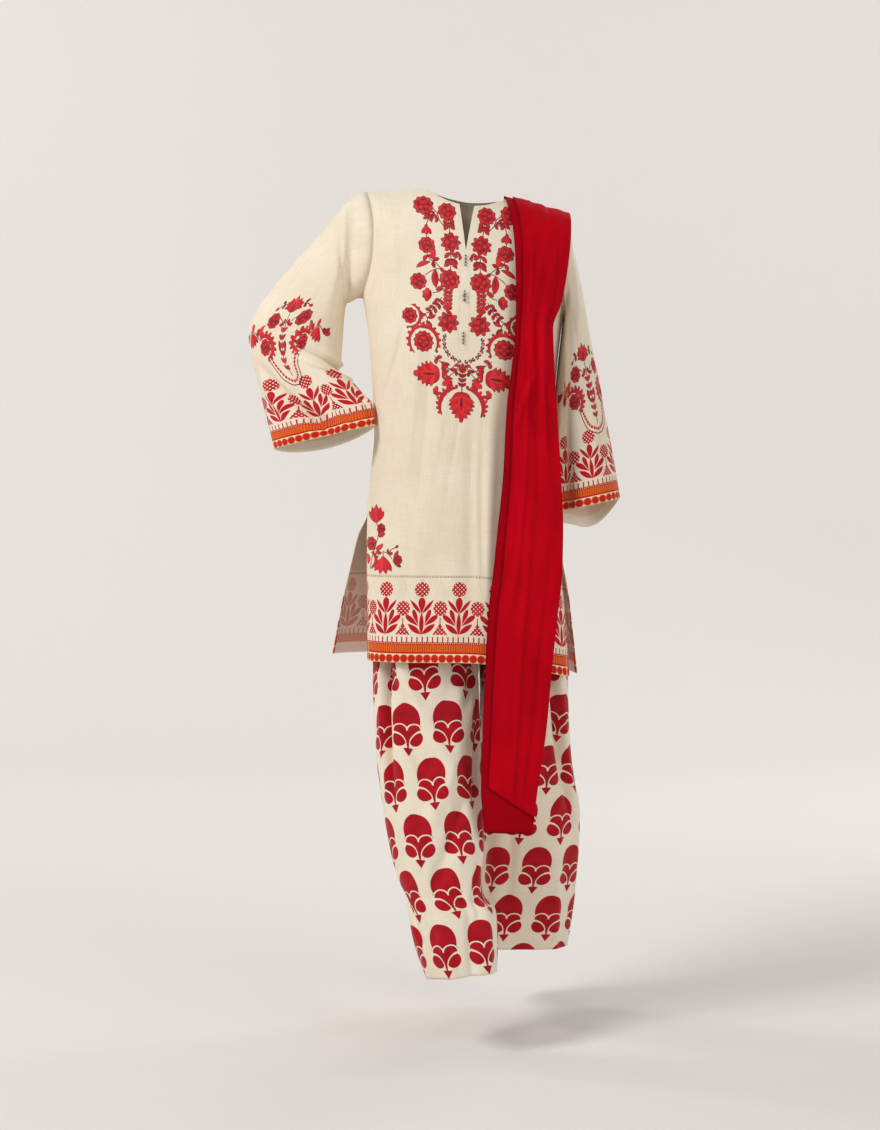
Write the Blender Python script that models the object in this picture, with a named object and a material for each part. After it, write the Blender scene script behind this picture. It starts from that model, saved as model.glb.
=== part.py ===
"""A salwar kameez suit in the hollow form and pose of wear.

The kameez has a front and a back with a border band sewn on below each, open side slits, a neck slit
and two bell sleeves. The shalwar has a waistband and two wide legs, each one piece of cloth closed at
its inseam. The dupatta is folded lengthwise over the left shoulder. Three bead drops lie on the front.

Metres, +Z up, the front towards -Y and the wearer's left towards +X. The origin is in the middle of the
neck opening. A drop is a height below the neck end of the right shoulder seam, positive downwards.
"""

import math

import bmesh
import bpy
import numpy as np

WALL = 0.0012  # a cloth wall
BAND_WALL = 0.0022  # the waistband, cloth over elastic
SEAM = 0.0003  # between pieces at a seam
BASE = 0.020  # the origin is this far below the neck ends of the shoulder seams

FRONT, BACK = -1, 1
RIGHT, LEFT = -1, 1

NECK_HALF = 0.0735
NECK_FRONT_DROP = 0.041
NECK_BACK_DROP = 0.020
SLIT_HALF = 0.0134  # the neck slit at its mouth
SLIT_FOOT_DROP = 0.124
SHOULDER_RISE = 0.002
SHOULDER_SLOPE = 0.188
SHOULDER_HALF = 0.180
UNDERARM_DROP = 0.219
BORDER_DROP = 0.693
HEM_DROP = 0.843
LEAN = 0.120  # the right shoulder is raised, so the kameez slants down to the left as far as the waist
LEFT_DIP = 0.87  # and its hem only dips, with the square of the distance, on the left
MIDDLE_DRIFT = 0.029  # its middle line drifts to the right

WAIST_DROP = 0.430
WAISTBAND_TOP_DROP = 0.395
RISE_DROP = 0.600  # the front and back rises start to turn in
CROTCH_DROP = 0.745
CROTCH_X = 0.008

BODY_FULLNESS = 2.4  # exponents of the sections, 2 for an ellipse
LEG_FULLNESS = 2.3

SCARF_HALF = 0.0022  # half the thickness of the folded dupatta
SCARF_REVEAL = 0.13  # the under layer shows along this share of the width


def table(columns, *rows):
    """A dict of one array for each named column."""
    return dict(zip(columns.split(), np.array(rows, float).T))


def curve(tab, key, column, at):
    """A smooth curve through a table's rows that never overshoots them."""
    xs, ys = tab[key], tab[column]
    step = np.diff(xs)
    slope = np.diff(ys) / step
    tangent = np.concatenate([slope[:1], np.zeros(len(slope) - 1), slope[-1:]])
    product = slope[:-1] * slope[1:]
    total = np.where(product > 0, slope[:-1] + slope[1:], 1)
    tangent[1:-1] = np.where(product > 0, 2 * product / total, 0)
    at = np.clip(at, xs[0], xs[-1])
    i = np.clip(np.searchsorted(xs, at) - 1, 0, len(step) - 1)
    t = (at - xs[i]) / step[i]
    low = ys[i] * (1 + 2 * t) + tangent[i] * step[i] * t
    high = ys[i + 1] * (3 - 2 * t) + tangent[i + 1] * step[i] * (t - 1)
    return low * (1 - t) ** 2 + high * t * t


def smooth_step(t):
    t = np.clip(t, 0, 1)
    return t * t * (3 - 2 * t)


FOLD_COLUMNS = "top low across_top across_low width depth"


def folds(tab, across, drop):
    """How far a surface stands out: a ridge, or a trough with a negative depth, for each row of a table."""
    total = np.zeros(np.broadcast(across, drop).shape)
    for top, low, a, b, width, depth in zip(*(tab[name] for name in FOLD_COLUMNS.split())):
        t = (drop - top) / (low - top)
        fade = smooth_step(t * 3) * smooth_step((1 - t) * 3)
        middle = a + (b - a) * t
        total += depth * fade * np.exp(-(((across - middle) / width) ** 2))
    return total


# Kameez

BODY_COLUMNS = "drop right left seam_y"
BODY_ROWS = (
    (0.000, 0.216, 0.212, 0.000),
    (0.050, 0.214, 0.210, 0.000),
    (0.100, 0.209, 0.204, 0.000),
    (0.150, 0.199, 0.191, 0.000),
    (0.180, 0.1925, 0.181, 0.000),
    (0.219, 0.187, 0.171, 0.000),
    (0.250, 0.181, 0.1670, 0.000),
    (0.300, 0.175, 0.1615, 0.000),
    (0.360, 0.171, 0.1575, 0.000),
    (0.450, 0.167, 0.1560, 0.000),
    (0.520, 0.174, 0.1560, 0.000),
    (0.585, 0.1795, 0.1600, 0.000),
)
BODY = {
    FRONT: table(
        BODY_COLUMNS, *BODY_ROWS,
        (0.640, 0.180, 0.165, -0.020),
        (0.693, 0.180, 0.171, -0.034),
        (0.765, 0.179, 0.177, -0.046),
        (0.843, 0.178, 0.182, -0.054),
    ),
    BACK: table(
        BODY_COLUMNS, *BODY_ROWS,
        (0.624, 0.197, 0.169, 0.014),
        (0.660, 0.2065, 0.177, 0.027),
        (0.693, 0.2145, 0.184, 0.038),
        (0.740, 0.2260, 0.191, 0.052),
        (0.843, 0.2463, 0.2035, 0.072),
    ),
}
# The kameez's depth at its middle, by the distance below the shoulder ridge.
DEPTH = table(
    "below front back",
    (0.000, 0.0000, 0.0000),
    (0.004, 0.0160, 0.0190),
    (0.012, 0.0340, 0.0400),
    (0.022, 0.0500, 0.0570),
    (0.039, 0.0680, 0.0740),
    (0.080, 0.0920, 0.0920),
    (0.140, 0.1150, 0.1060),
    (0.200, 0.1310, 0.1100),
    (0.270, 0.1410, 0.1060),
    (0.360, 0.1360, 0.0970),
    (0.460, 0.1290, 0.0950),
    (0.620, 0.1310, 0.1180),
    (0.860, 0.1360, 0.1420),
)
ARMHOLE = table(
    "drop right left",
    (0.0318, 0.1800, 0.1780),
    (0.060, 0.1715, 0.1690),
    (0.100, 0.1665, 0.1630),
    (0.140, 0.1675, 0.1610),
    (0.175, 0.1730, 0.1630),
    (0.200, 0.1805, 0.1670),
    (0.219, 0.1870, 0.1710),
)
BODY_FOLDS = {
    FRONT: table(
        FOLD_COLUMNS,
        (0.20, 0.60, -0.42, -0.62, 0.055, 0.0045),
        (0.22, 0.56, -0.60, -0.78, 0.045, -0.0040),
        (0.24, 0.62, -0.30, -0.44, 0.050, -0.0030),
        (0.30, 0.90, 0.12, 0.16, 0.070, -0.0035),
        (0.30, 0.95, 0.34, 0.30, 0.060, 0.0045),
        (0.45, 1.00, -0.86, -0.80, 0.050, 0.0040),
        (0.55, 1.10, -0.30, -0.24, 0.110, -0.0040),
        (0.60, 1.10, 0.62, 0.64, 0.080, -0.0045),
    ),
    BACK: table(
        FOLD_COLUMNS,
        (0.18, 0.62, -0.46, -0.40, 0.060, 0.0045),
        (0.22, 0.70, 0.05, 0.02, 0.070, -0.0040),
        (0.20, 0.60, 0.48, 0.42, 0.060, 0.0040),
        (0.50, 1.15, -0.55, -0.62, 0.090, 0.0075),
        (0.50, 1.15, -0.20, -0.22, 0.090, -0.0060),
        (0.50, 1.15, 0.20, 0.20, 0.100, 0.0070),
        (0.50, 1.15, 0.62, 0.66, 0.080, -0.0060),
    ),
}


def ridge_drop(x):
    """The drop of the shoulder ridge, before the kameez leans."""
    return SHOULDER_SLOPE * np.abs(x) - SHOULDER_RISE


def body(face, across, drop):
    """Points of the kameez. across runs from -1 at the wearer's right edge to 1 at the left edge."""
    across, drop = np.broadcast_arrays(np.asarray(across, float), np.asarray(drop, float))
    form = BODY[face]
    half, hole = (
        np.where(across < 0, curve(tab, "drop", "right", drop), curve(tab, "drop", "left", drop))
        for tab in (form, ARMHOLE)
    )
    x = across * np.where(drop < UNDERARM_DROP, hole, half)
    full = np.clip(1 - np.abs(x / half) ** BODY_FULLNESS, 0, 1) ** (1 / BODY_FULLNESS)
    below = np.clip(drop - ridge_drop(x), 0, None)
    depth = curve(DEPTH, "below", "front" if face == FRONT else "back", below)
    seam_y = curve(form, "drop", "seam_y", drop)
    depth = depth + folds(BODY_FOLDS[face], across, drop)
    y = seam_y + (face * depth - seam_y) * full + face * SEAM / 2
    hang = smooth_step((drop - 0.20) / 0.45)
    slant = (1 - hang) * LEAN * x + hang * LEFT_DIP * np.clip(x, 0, None) ** 2
    return np.stack([x - MIDDLE_DRIFT * drop * (1 - across**2), y, BASE - drop - slant], axis=-1)


def neck_drop(face, x):
    """The drop of the cut edge at the top of the front or back, at a distance x from its middle."""
    x = np.abs(x)
    middle = NECK_FRONT_DROP if face == FRONT else NECK_BACK_DROP
    power = 2.1 if face == FRONT else 2.0
    side = ridge_drop(NECK_HALF)
    round_neck = middle + (side - middle) * np.clip(x / NECK_HALF, 0, 1) ** power
    if face == FRONT:
        slit = SLIT_FOOT_DROP + (middle - SLIT_FOOT_DROP) * x / SLIT_HALF
        round_neck = np.where(x < SLIT_HALF, slit, round_neck)
    return np.where(x < NECK_HALF, round_neck, ridge_drop(x))


def body_rows(armhole_steps, lower_shares):
    """Shares of the way from the shoulder to the border seam: evenly round the armhole, then as listed."""
    tip = float(ridge_drop(SHOULDER_HALF))
    share = (UNDERARM_DROP - tip) / (BORDER_DROP - tip)
    turn = np.linspace(0, math.pi, armhole_steps + 1)
    return np.concatenate([share * (1 - np.cos(turn)) / 2, share + (1 - share) * np.array(lower_shares)])


def body_panel(face, across, rows):
    """The grid of the front or back, down to its border seam, ordered so that it turns the same way on both."""
    top = neck_drop(face, across * SHOULDER_HALF)
    drop = top + (BORDER_DROP - SEAM / 2 - top) * rows[:, None]
    points = body(face, across, drop)
    return points if face == FRONT else points[:, ::-1]


def border_panel(face, across, steps):
    """The grid of a border band, from its seam to the hem."""
    drop = np.linspace(BORDER_DROP + SEAM / 2, HEM_DROP, steps + 1)
    points = body(face, across, drop[:, None])
    return points if face == FRONT else points[:, ::-1]


def mirrored(shares):
    """Shares of the half width, listed from the middle out, as a row from -1 to 1."""
    shares = np.array(shares, float)
    return np.concatenate([-shares[:0:-1], shares])


# Sleeves

# Each row is one section, named by the ends of its long axis as seen from the front. swing is how much
# further forward its inner end is than its outer one, and sag how much lower its back is than its front.
SLEEVE_COLUMNS = "run outer_x outer_drop inner_x inner_drop mid_y depth swing sag"
SLEEVE = {
    RIGHT: table(
        SLEEVE_COLUMNS,
        (0, -0.180, 0.010, -0.187, 0.198, 0.000, 0.064, 0.000, 0.000),
        (1, -0.203, 0.020, -0.203, 0.203, 0.002, 0.060, 0.000, 0.000),
        (2, -0.229, 0.045, -0.2185, 0.208, 0.004, 0.066, 0.002, 0.000),
        (3, -0.262, 0.083, -0.2205, 0.222, 0.006, 0.066, 0.004, 0.000),
        (4, -0.306, 0.131, -0.2225, 0.243, 0.008, 0.063, 0.008, 0.000),
        (5, -0.346, 0.176, -0.2240, 0.267, 0.010, 0.060, 0.014, 0.002),
        (6, -0.378, 0.220, -0.2255, 0.291, 0.010, 0.058, 0.022, 0.004),
        (7, -0.392, 0.257, -0.2265, 0.311, 0.008, 0.056, 0.030, 0.006),
        (8, -0.389, 0.298, -0.2280, 0.328, 0.004, 0.054, 0.038, 0.009),
        (9, -0.379, 0.334, -0.2080, 0.347, -0.004, 0.051, 0.046, 0.012),
        (10, -0.367, 0.385, -0.1860, 0.371, -0.014, 0.048, 0.052, 0.015),
        (11, -0.356, 0.426, -0.1680, 0.392, -0.024, 0.046, 0.056, 0.018),
        (12, -0.3450, 0.468, -0.1630, 0.427, -0.034, 0.044, 0.060, 0.020),
    ),
    LEFT: table(
        SLEEVE_COLUMNS,
        (0, 0.178, 0.053, 0.171, 0.238, 0.000, 0.064, 0.000, 0.000),
        (1, 0.182, 0.078, 0.1735, 0.247, -0.001, 0.066, 0.000, 0.000),
        (2, 0.189, 0.115, 0.1714, 0.258, -0.003, 0.068, 0.000, 0.000),
        (3, 0.199, 0.160, 0.1690, 0.276, -0.006, 0.069, 0.000, 0.000),
        (4, 0.208, 0.212, 0.1658, 0.302, -0.010, 0.069, 0.000, 0.002),
        (5, 0.217, 0.268, 0.1629, 0.334, -0.014, 0.069, 0.000, 0.005),
        (6, 0.2275, 0.324, 0.1604, 0.372, -0.018, 0.070, 0.000, 0.010),
        (7, 0.238, 0.380, 0.1588, 0.416, -0.022, 0.072, 0.000, 0.016),
        (8, 0.2485, 0.436, 0.1573, 0.465, -0.026, 0.074, 0.000, 0.023),
        (9, 0.260, 0.496, 0.1572, 0.522, -0.030, 0.077, 0.000, 0.032),
        (10, 0.271, 0.556, 0.1575, 0.580, -0.034, 0.079, 0.000, 0.042),
    ),
}
# Folds by the run along a sleeve and the turn round it, from 0 at its outer edge through 0.25 at its front.
SLEEVE_FOLDS = {
    RIGHT: table(
        FOLD_COLUMNS,
        (0.1, 2.6, 0.20, 0.30, 0.120, -0.0090),
        (1.0, 5.5, 0.26, 0.36, 0.060, 0.0060),
        (3.0, 9.0, 0.13, 0.22, 0.040, -0.0050),
        (5.5, 12.0, 0.38, 0.30, 0.050, 0.0060),
        (6.5, 14.5, 0.20, 0.27, 0.035, -0.0085),
        (7.0, 15.0, 0.12, 0.16, 0.045, 0.0050),
        (2.0, 9.0, 0.70, 0.64, 0.060, 0.0060),
        (4.0, 12.0, 0.82, 0.78, 0.050, -0.0060),
    ),
    LEFT: table(
        FOLD_COLUMNS,
        (0.6, 4.5, 0.18, 0.26, 0.080, -0.0040),
        (3.5, 13.0, 0.385, 0.375, 0.030, -0.0080),
        (3.5, 13.0, 0.315, 0.300, 0.040, 0.0050),
        (2.0, 11.0, 0.08, 0.06, 0.060, 0.0030),
        (4.0, 13.0, 0.66, 0.70, 0.050, -0.0060),
        (3.0, 12.0, 0.80, 0.82, 0.050, 0.0050),
    ),
}


def armhole_loop(side, steps):
    """The loop of an armhole's cut edge, from the shoulder tip down the front and up the back."""
    tip = float(ridge_drop(SHOULDER_HALF))
    drop = tip + (UNDERARM_DROP - tip) * (1 - np.cos(np.linspace(0, math.pi, steps + 1))) / 2
    front, back = (body(face, np.full(steps + 1, float(side)), drop) for face in (FRONT, BACK))
    front[[0, -1], 1] = 0
    return np.concatenate([front, back[-2:0:-1]]) + [side * SEAM * 1.3, 0, 0]


def sleeve(side, loop, runs):
    """The grid of a sleeve, a closed ring for each run, starting at the armhole's loop."""
    form = SLEEVE[side]
    row = {name: curve(form, "run", name, runs)[:, None] for name in form}
    turn = np.arange(len(loop)) / len(loop)
    angle = 2 * math.pi * turn
    out = folds(SLEEVE_FOLDS[side], turn, runs[:, None])
    reach = np.hypot(row["outer_x"] - row["inner_x"], row["outer_drop"] - row["inner_drop"]) / 2
    along, across = np.cos(angle), np.sin(angle)
    along = along * (1 + out / reach)
    across = across * (1 + out / row["depth"])
    x = (row["outer_x"] + row["inner_x"]) / 2 + along * (row["outer_x"] - row["inner_x"]) / 2
    drop = (row["outer_drop"] + row["inner_drop"]) / 2 + along * (row["outer_drop"] - row["inner_drop"]) / 2
    y = row["mid_y"] - across * row["depth"] + along * row["swing"] / 2
    sag = row["sag"] * np.clip(-across, 0, None) ** 1.5
    ring = np.stack([x, y, BASE - drop - sag], axis=-1)
    blend = (1 - smooth_step(runs / 2))[:, None, None]
    shift = (ring.mean(axis=1) - loop.mean(axis=0))[:, None]
    points = blend * (loop + shift) + (1 - blend) * ring
    points[0] = loop
    return points


# Shalwar

HIP = table(
    "drop right left front back",
    (0.395, 0.1335, 0.1185, -0.0965, 0.0705),
    (0.430, 0.1350, 0.1200, -0.0980, 0.0720),
    (0.500, 0.1450, 0.1300, -0.1040, 0.0850),
    (0.580, 0.1580, 0.1476, -0.1080, 0.0980),
    (0.660, 0.1660, 0.1600, -0.1080, 0.1010),
    (0.745, 0.1700, 0.1680, -0.1020, 0.0860),
)
LEG = {
    RIGHT: table(
        "drop outer inner front back",
        (0.560, -0.166, 0.006, -0.106, 0.096),
        (0.745, -0.168, 0.0065, -0.102, 0.082),
        (0.800, -0.169, 0.013, -0.104, 0.072),
        (0.880, -0.169, 0.0205, -0.110, 0.060),
        (0.985, -0.1655, 0.0235, -0.128, 0.038),
        (1.089, -0.1520, 0.0275, -0.150, 0.010),
        (1.174, -0.1370, 0.0290, -0.170, -0.018),
        (1.226, -0.1222, 0.0235, -0.183, -0.036),
        (1.256, -0.1100, 0.0270, -0.190, -0.046),
        (1.285, -0.1040, 0.0490, -0.198, -0.054),
        (1.325, -0.0965, 0.0530, -0.207, -0.063),
        (1.396, -0.0720, 0.0515, -0.222, -0.072),
    ),
    LEFT: table(
        "drop outer inner front back",
        (0.560, 0.150, 0.010, -0.106, 0.096),
        (0.745, 0.172, 0.0105, -0.098, 0.086),
        (0.800, 0.178, 0.0155, -0.090, 0.090),
        (0.880, 0.183, 0.0228, -0.070, 0.104),
        (1.003, 0.188, 0.0240, -0.045, 0.134),
        (1.076, 0.1956, 0.0215, -0.028, 0.152),
        (1.112, 0.2015, 0.0190, -0.018, 0.160),
        (1.190, 0.2036, 0.0160, 0.000, 0.178),
        (1.283, 0.1986, 0.0160, 0.028, 0.200),
        (1.402, 0.1898, 0.0200, 0.065, 0.225),
    ),
}
# Folds by the drop and the turn round a leg, from 0 at its inseam through 0.25 at its front.
LEG_FOLDS = {
    RIGHT: table(
        FOLD_COLUMNS,
        (0.50, 1.14, 0.385, 0.375, 0.022, -0.0130),
        (0.50, 1.20, 0.330, 0.320, 0.035, 0.0060),
        (0.62, 1.02, 0.14, 0.20, 0.050, -0.0070),
        (0.78, 1.20, 0.10, 0.24, 0.035, 0.0060),
        (0.98, 1.34, 0.12, 0.30, 0.035, -0.0060),
        (1.08, 1.52, 0.08, 0.13, 0.040, 0.0060),
        (1.15, 1.50, 0.22, 0.34, 0.040, 0.0050),
        (0.46, 0.98, 0.62, 0.60, 0.030, 0.0080),
        (0.46, 1.05, 0.72, 0.74, 0.030, -0.0080),
        (0.90, 1.55, 0.66, 0.70, 0.050, 0.0070),
        (1.00, 1.55, 0.85, 0.80, 0.045, -0.0060),
    ),
    LEFT: table(
        FOLD_COLUMNS,
        (0.50, 1.22, 0.28, 0.415, 0.026, -0.0110),
        (0.50, 1.26, 0.35, 0.460, 0.035, 0.0060),
        (0.95, 1.55, 0.16, 0.14, 0.045, 0.0050),
        (1.00, 1.55, 0.26, 0.25, 0.045, -0.0050),
        (1.02, 1.42, 0.44, 0.46, 0.040, 0.0060),
        (0.46, 1.00, 0.62, 0.60, 0.030, 0.0080),
        (0.46, 1.05, 0.74, 0.72, 0.030, -0.0080),
        (0.95, 1.55, 0.62, 0.64, 0.050, 0.0070),
        (1.00, 1.55, 0.78, 0.80, 0.050, -0.0070),
    ),
}
# How much higher a leg's hem is at its inner end than at its outer one, and at its front than at its back.
HEM_RISE = {RIGHT: (0.013, 0.018), LEFT: (0.000, 0.006)}


def signed_power(value, fullness):
    return np.sign(value) * np.abs(value) ** (2 / fullness)


def hip_half(side, turn, drop):
    """Points of one side of the hips, from the middle of the front round to the middle of the back."""
    row = {name: curve(HIP, "drop", name, drop) for name in HIP}
    half = row["right"] if side == RIGHT else row["left"]
    across = signed_power(np.sin(math.pi * turn), LEG_FULLNESS)
    along = signed_power(np.cos(math.pi * turn), LEG_FULLNESS)
    y = (row["front"] + row["back"]) / 2 - along * (row["back"] - row["front"]) / 2
    return CROTCH_X + side * (SEAM / 2 + half * across - side * CROTCH_X * across), y


def leg(side, turn, drop):
    """Points of a leg. turn runs from 0 at its front seam round its outside to 1 at its back seam."""
    turn, drop = np.broadcast_arrays(np.asarray(turn, float), np.asarray(drop, float))
    hip_x, hip_y = hip_half(side, turn, drop)
    row = {name: curve(LEG[side], "drop", name, drop) for name in LEG[side]}
    out = folds(LEG_FOLDS[side], turn, drop)
    angle = 2 * math.pi * turn
    half, deep = (row["outer"] - row["inner"]) / 2, (row["back"] - row["front"]) / 2
    x = (row["outer"] + row["inner"]) / 2 - half * signed_power(np.cos(angle), LEG_FULLNESS)
    y = (row["front"] + row["back"]) / 2 - deep * signed_power(np.sin(angle), LEG_FULLNESS)
    y = y + np.where(turn < 0.5, -1, 1) * SEAM / 2
    parted = np.clip((drop - RISE_DROP) / (CROTCH_DROP - RISE_DROP), 0, 1) ** 2
    x, y = hip_x + (x - hip_x) * parted, hip_y + (y - hip_y) * parted
    x = x - np.sign(half) * out * np.cos(angle) * parted + side * out * np.sin(math.pi * turn) * (1 - parted)
    y = y - out * np.where(parted > 0.5, np.sin(angle), np.cos(math.pi * turn))
    inner_rise, front_rise = HEM_RISE[side]
    edge = inner_rise * (1 + np.cos(angle)) / 2 + front_rise * np.sin(angle) / 2
    edge = edge * smooth_step((drop - 1.15) / 0.25)
    return np.stack([x, y, BASE - drop + edge], axis=-1)


def waistband(turns, steps):
    """The grid of the waistband, closed round the waist."""
    drop = np.linspace(WAISTBAND_TOP_DROP, WAIST_DROP - SEAM, steps + 1)[:, None]
    turn = np.linspace(0, 1, turns + 1)
    left, right = (np.stack(hip_half(side, turn, drop), axis=-1) for side in (LEFT, RIGHT))
    ring = np.concatenate([left[:, :-1], right[:, :0:-1]], axis=1)
    height = np.broadcast_to(BASE - drop, ring.shape[:2])
    return np.concatenate([ring, height[..., None]], axis=-1)


# Dupatta

# Each row is one place along the folded dupatta, from its front hem over the shoulder to its back hem,
# with the points of its edge nearer the neck and its edge nearer the arm.
SCARF = table(
    "neck_x neck_y neck_drop arm_x arm_y arm_drop crown",
    (0.0289, -0.152, 1.138, 0.1100, -0.150, 1.141, 0.002),
    (0.0224, -0.153, 1.061, 0.1180, -0.151, 1.072, 0.003),
    (0.0254, -0.153, 0.964, 0.1337, -0.150, 0.964, 0.004),
    (0.0302, -0.152, 0.842, 0.1450, -0.148, 0.842, 0.004),
    (0.0353, -0.151, 0.752, 0.1545, -0.146, 0.752, 0.004),
    (0.0432, -0.150, 0.687, 0.1615, -0.144, 0.687, 0.004),
    (0.0517, -0.149, 0.603, 0.1632, -0.142, 0.603, 0.004),
    (0.0600, -0.149, 0.524, 0.1597, -0.140, 0.524, 0.004),
    (0.0666, -0.150, 0.402, 0.1525, -0.136, 0.402, 0.004),
    (0.0744, -0.150, 0.335, 0.1487, -0.130, 0.335, 0.005),
    (0.0814, -0.147, 0.269, 0.1462, -0.120, 0.262, 0.006),
    (0.0834, -0.136, 0.202, 0.1620, -0.103, 0.213, 0.007),
    (0.0824, -0.114, 0.134, 0.1743, -0.088, 0.145, 0.008),
    (0.0780, -0.084, 0.072, 0.1800, -0.070, 0.094, 0.007),
    (0.0710, -0.048, 0.0342, 0.1815, -0.042, 0.062, 0.004),
    (0.0665, 0.000, 0.0150, 0.1810, 0.000, 0.0480, 0.000),
    (0.0680, 0.047, 0.0314, 0.1810, 0.042, 0.062, 0.004),
    (0.0720, 0.0892, 0.0772, 0.1780, 0.074, 0.105, 0.007),
    (0.0720, 0.117, 0.165, 0.1720, 0.096, 0.180, 0.007),
    (0.0680, 0.124, 0.290, 0.1620, 0.112, 0.295, 0.006),
    (0.0620, 0.127, 0.430, 0.1560, 0.122, 0.430, 0.005),
    (0.0560, 0.140, 0.600, 0.1560, 0.138, 0.600, 0.005),
    (0.0480, 0.166, 0.830, 0.1540, 0.166, 0.830, 0.005),
    (0.0430, 0.190, 1.080, 0.1500, 0.190, 1.086, 0.003),
)
SCARF_TOP_ENDS = {"front": (0.036, 0.014), "back": (0.955, 0.975)}  # the upper layer's hems, in shares


def scarf_spine():
    """The table again, with a share of the length for each row, so that it can be read along the cloth."""
    middle = [(SCARF["neck_" + a] + SCARF["arm_" + a]) / 2 for a in ("x", "y", "drop")]
    steps = np.linalg.norm(np.diff(np.stack(middle, axis=1), axis=0), axis=1)
    share = np.concatenate([[0], np.cumsum(steps)])
    return dict(SCARF, share=share / share[-1])


def scarf(spine, across, share, out):
    """Points of the dupatta: across from its neck edge to its arm edge, and out from its middle surface."""
    across, share, out = np.broadcast_arrays(across, share, out)
    inset = np.clip(across, 0, 1)

    def middle(a, s):
        row = {name: curve(spine, "share", name, s) for name in SCARF}
        ends = [
            np.stack([row[edge + "_x"], row[edge + "_y"], BASE - row[edge + "_drop"]], axis=-1)
            for edge in ("neck", "arm")
        ]
        flat = ends[0] + (ends[1] - ends[0]) * a[..., None]
        crown = 4 * a * (1 - a) * row["crown"]
        side = np.tanh(flat[..., 1] / 0.05)
        flat[..., 1] += crown * side
        flat[..., 2] += crown * (1 - np.abs(side))
        return flat

    point, tiny = middle(inset, share), 1e-3
    wide = middle(inset + tiny, share) - middle(inset - tiny, share)
    long = middle(inset, share + tiny) - middle(inset, share - tiny)
    normal = np.cross(wide, long)
    normal /= np.linalg.norm(normal, axis=-1, keepdims=True)
    wide /= np.linalg.norm(wide, axis=-1, keepdims=True)
    return point + normal * out[..., None] + wide * (across - inset)[..., None] * 0.1


def scarf_grid(layer_steps, fold_steps, stations):
    """The folded dupatta's outer side: the under layer, the fold at the arm edge, then the upper layer."""
    spine = scarf_spine()
    turn = np.linspace(-math.pi / 2, math.pi / 2, fold_steps + 2)[1:-1]
    under = np.linspace(0, 1, layer_steps + 1)
    upper = np.linspace(1, SCARF_REVEAL, layer_steps + 1)
    across = np.concatenate([under, 1 + np.cos(turn) * SCARF_HALF / 0.1, upper])
    out = SCARF_HALF * np.concatenate([-np.ones(len(under)), np.sin(turn), np.ones(len(upper))])
    lift = np.concatenate([np.zeros(len(under)), (np.sin(turn) + 1) / 2, np.ones(len(upper))])
    inset = np.clip(across, 0, 1)
    (a, b), (c, d) = SCARF_TOP_ENDS["front"], SCARF_TOP_ENDS["back"]
    start, end = lift * (a + (b - a) * inset), 1 - lift * (1 - (c + (d - c) * inset))
    share = np.interp(stations, np.arange(len(spine["share"])), spine["share"])
    share = start + (end - start) * share[:, None]
    return scarf(spine, across, share, out)


# Meshes and materials

PAINT = {
    "cream_cloth": ((0.86, 0.78, 0.64), 0.75, 0.0),
    "border_print": ((0.72, 0.30, 0.24), 0.75, 0.0),
    "trouser_print": ((0.78, 0.52, 0.42), 0.80, 0.0),
    "waistband_cloth": ((0.82, 0.74, 0.62), 0.80, 0.0),
    "red_cloth": ((0.60, 0.01, 0.03), 0.65, 0.0),
    "bead_metal": ((0.50, 0.48, 0.44), 0.30, 0.9),
}


def paint(name):
    colour, roughness, metallic = PAINT[name]
    material = bpy.data.materials.get(name) or bpy.data.materials.new(name)
    material.use_nodes = True
    shader = material.node_tree.nodes["Principled BSDF"]
    shader.inputs["Base Color"].default_value = (*colour, 1)
    shader.inputs["Roughness"].default_value = roughness
    shader.inputs["Metallic"].default_value = metallic
    return material


def grid_normals(points, ring):
    """Unit normals of a grid of points, out of the cloth."""
    if ring:
        wide = np.roll(points, -1, axis=1) - np.roll(points, 1, axis=1)
    else:
        wide = np.gradient(points, axis=1)
    normal = np.cross(np.gradient(points, axis=0), wide)
    return normal / np.linalg.norm(normal, axis=-1, keepdims=True)


def lean_away(normal, across):
    """Edge normals turned so that the wall under the edge doesn't reach across the seam."""
    reach = np.minimum((normal * across).sum(axis=-1, keepdims=True), 0)
    normal = normal - reach * across
    return normal / np.linalg.norm(normal, axis=-1, keepdims=True)


EDGES = {"top": np.s_[0, :], "bottom": np.s_[-1, :], "first": np.s_[:, 0], "last": np.s_[:, -1]}


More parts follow.
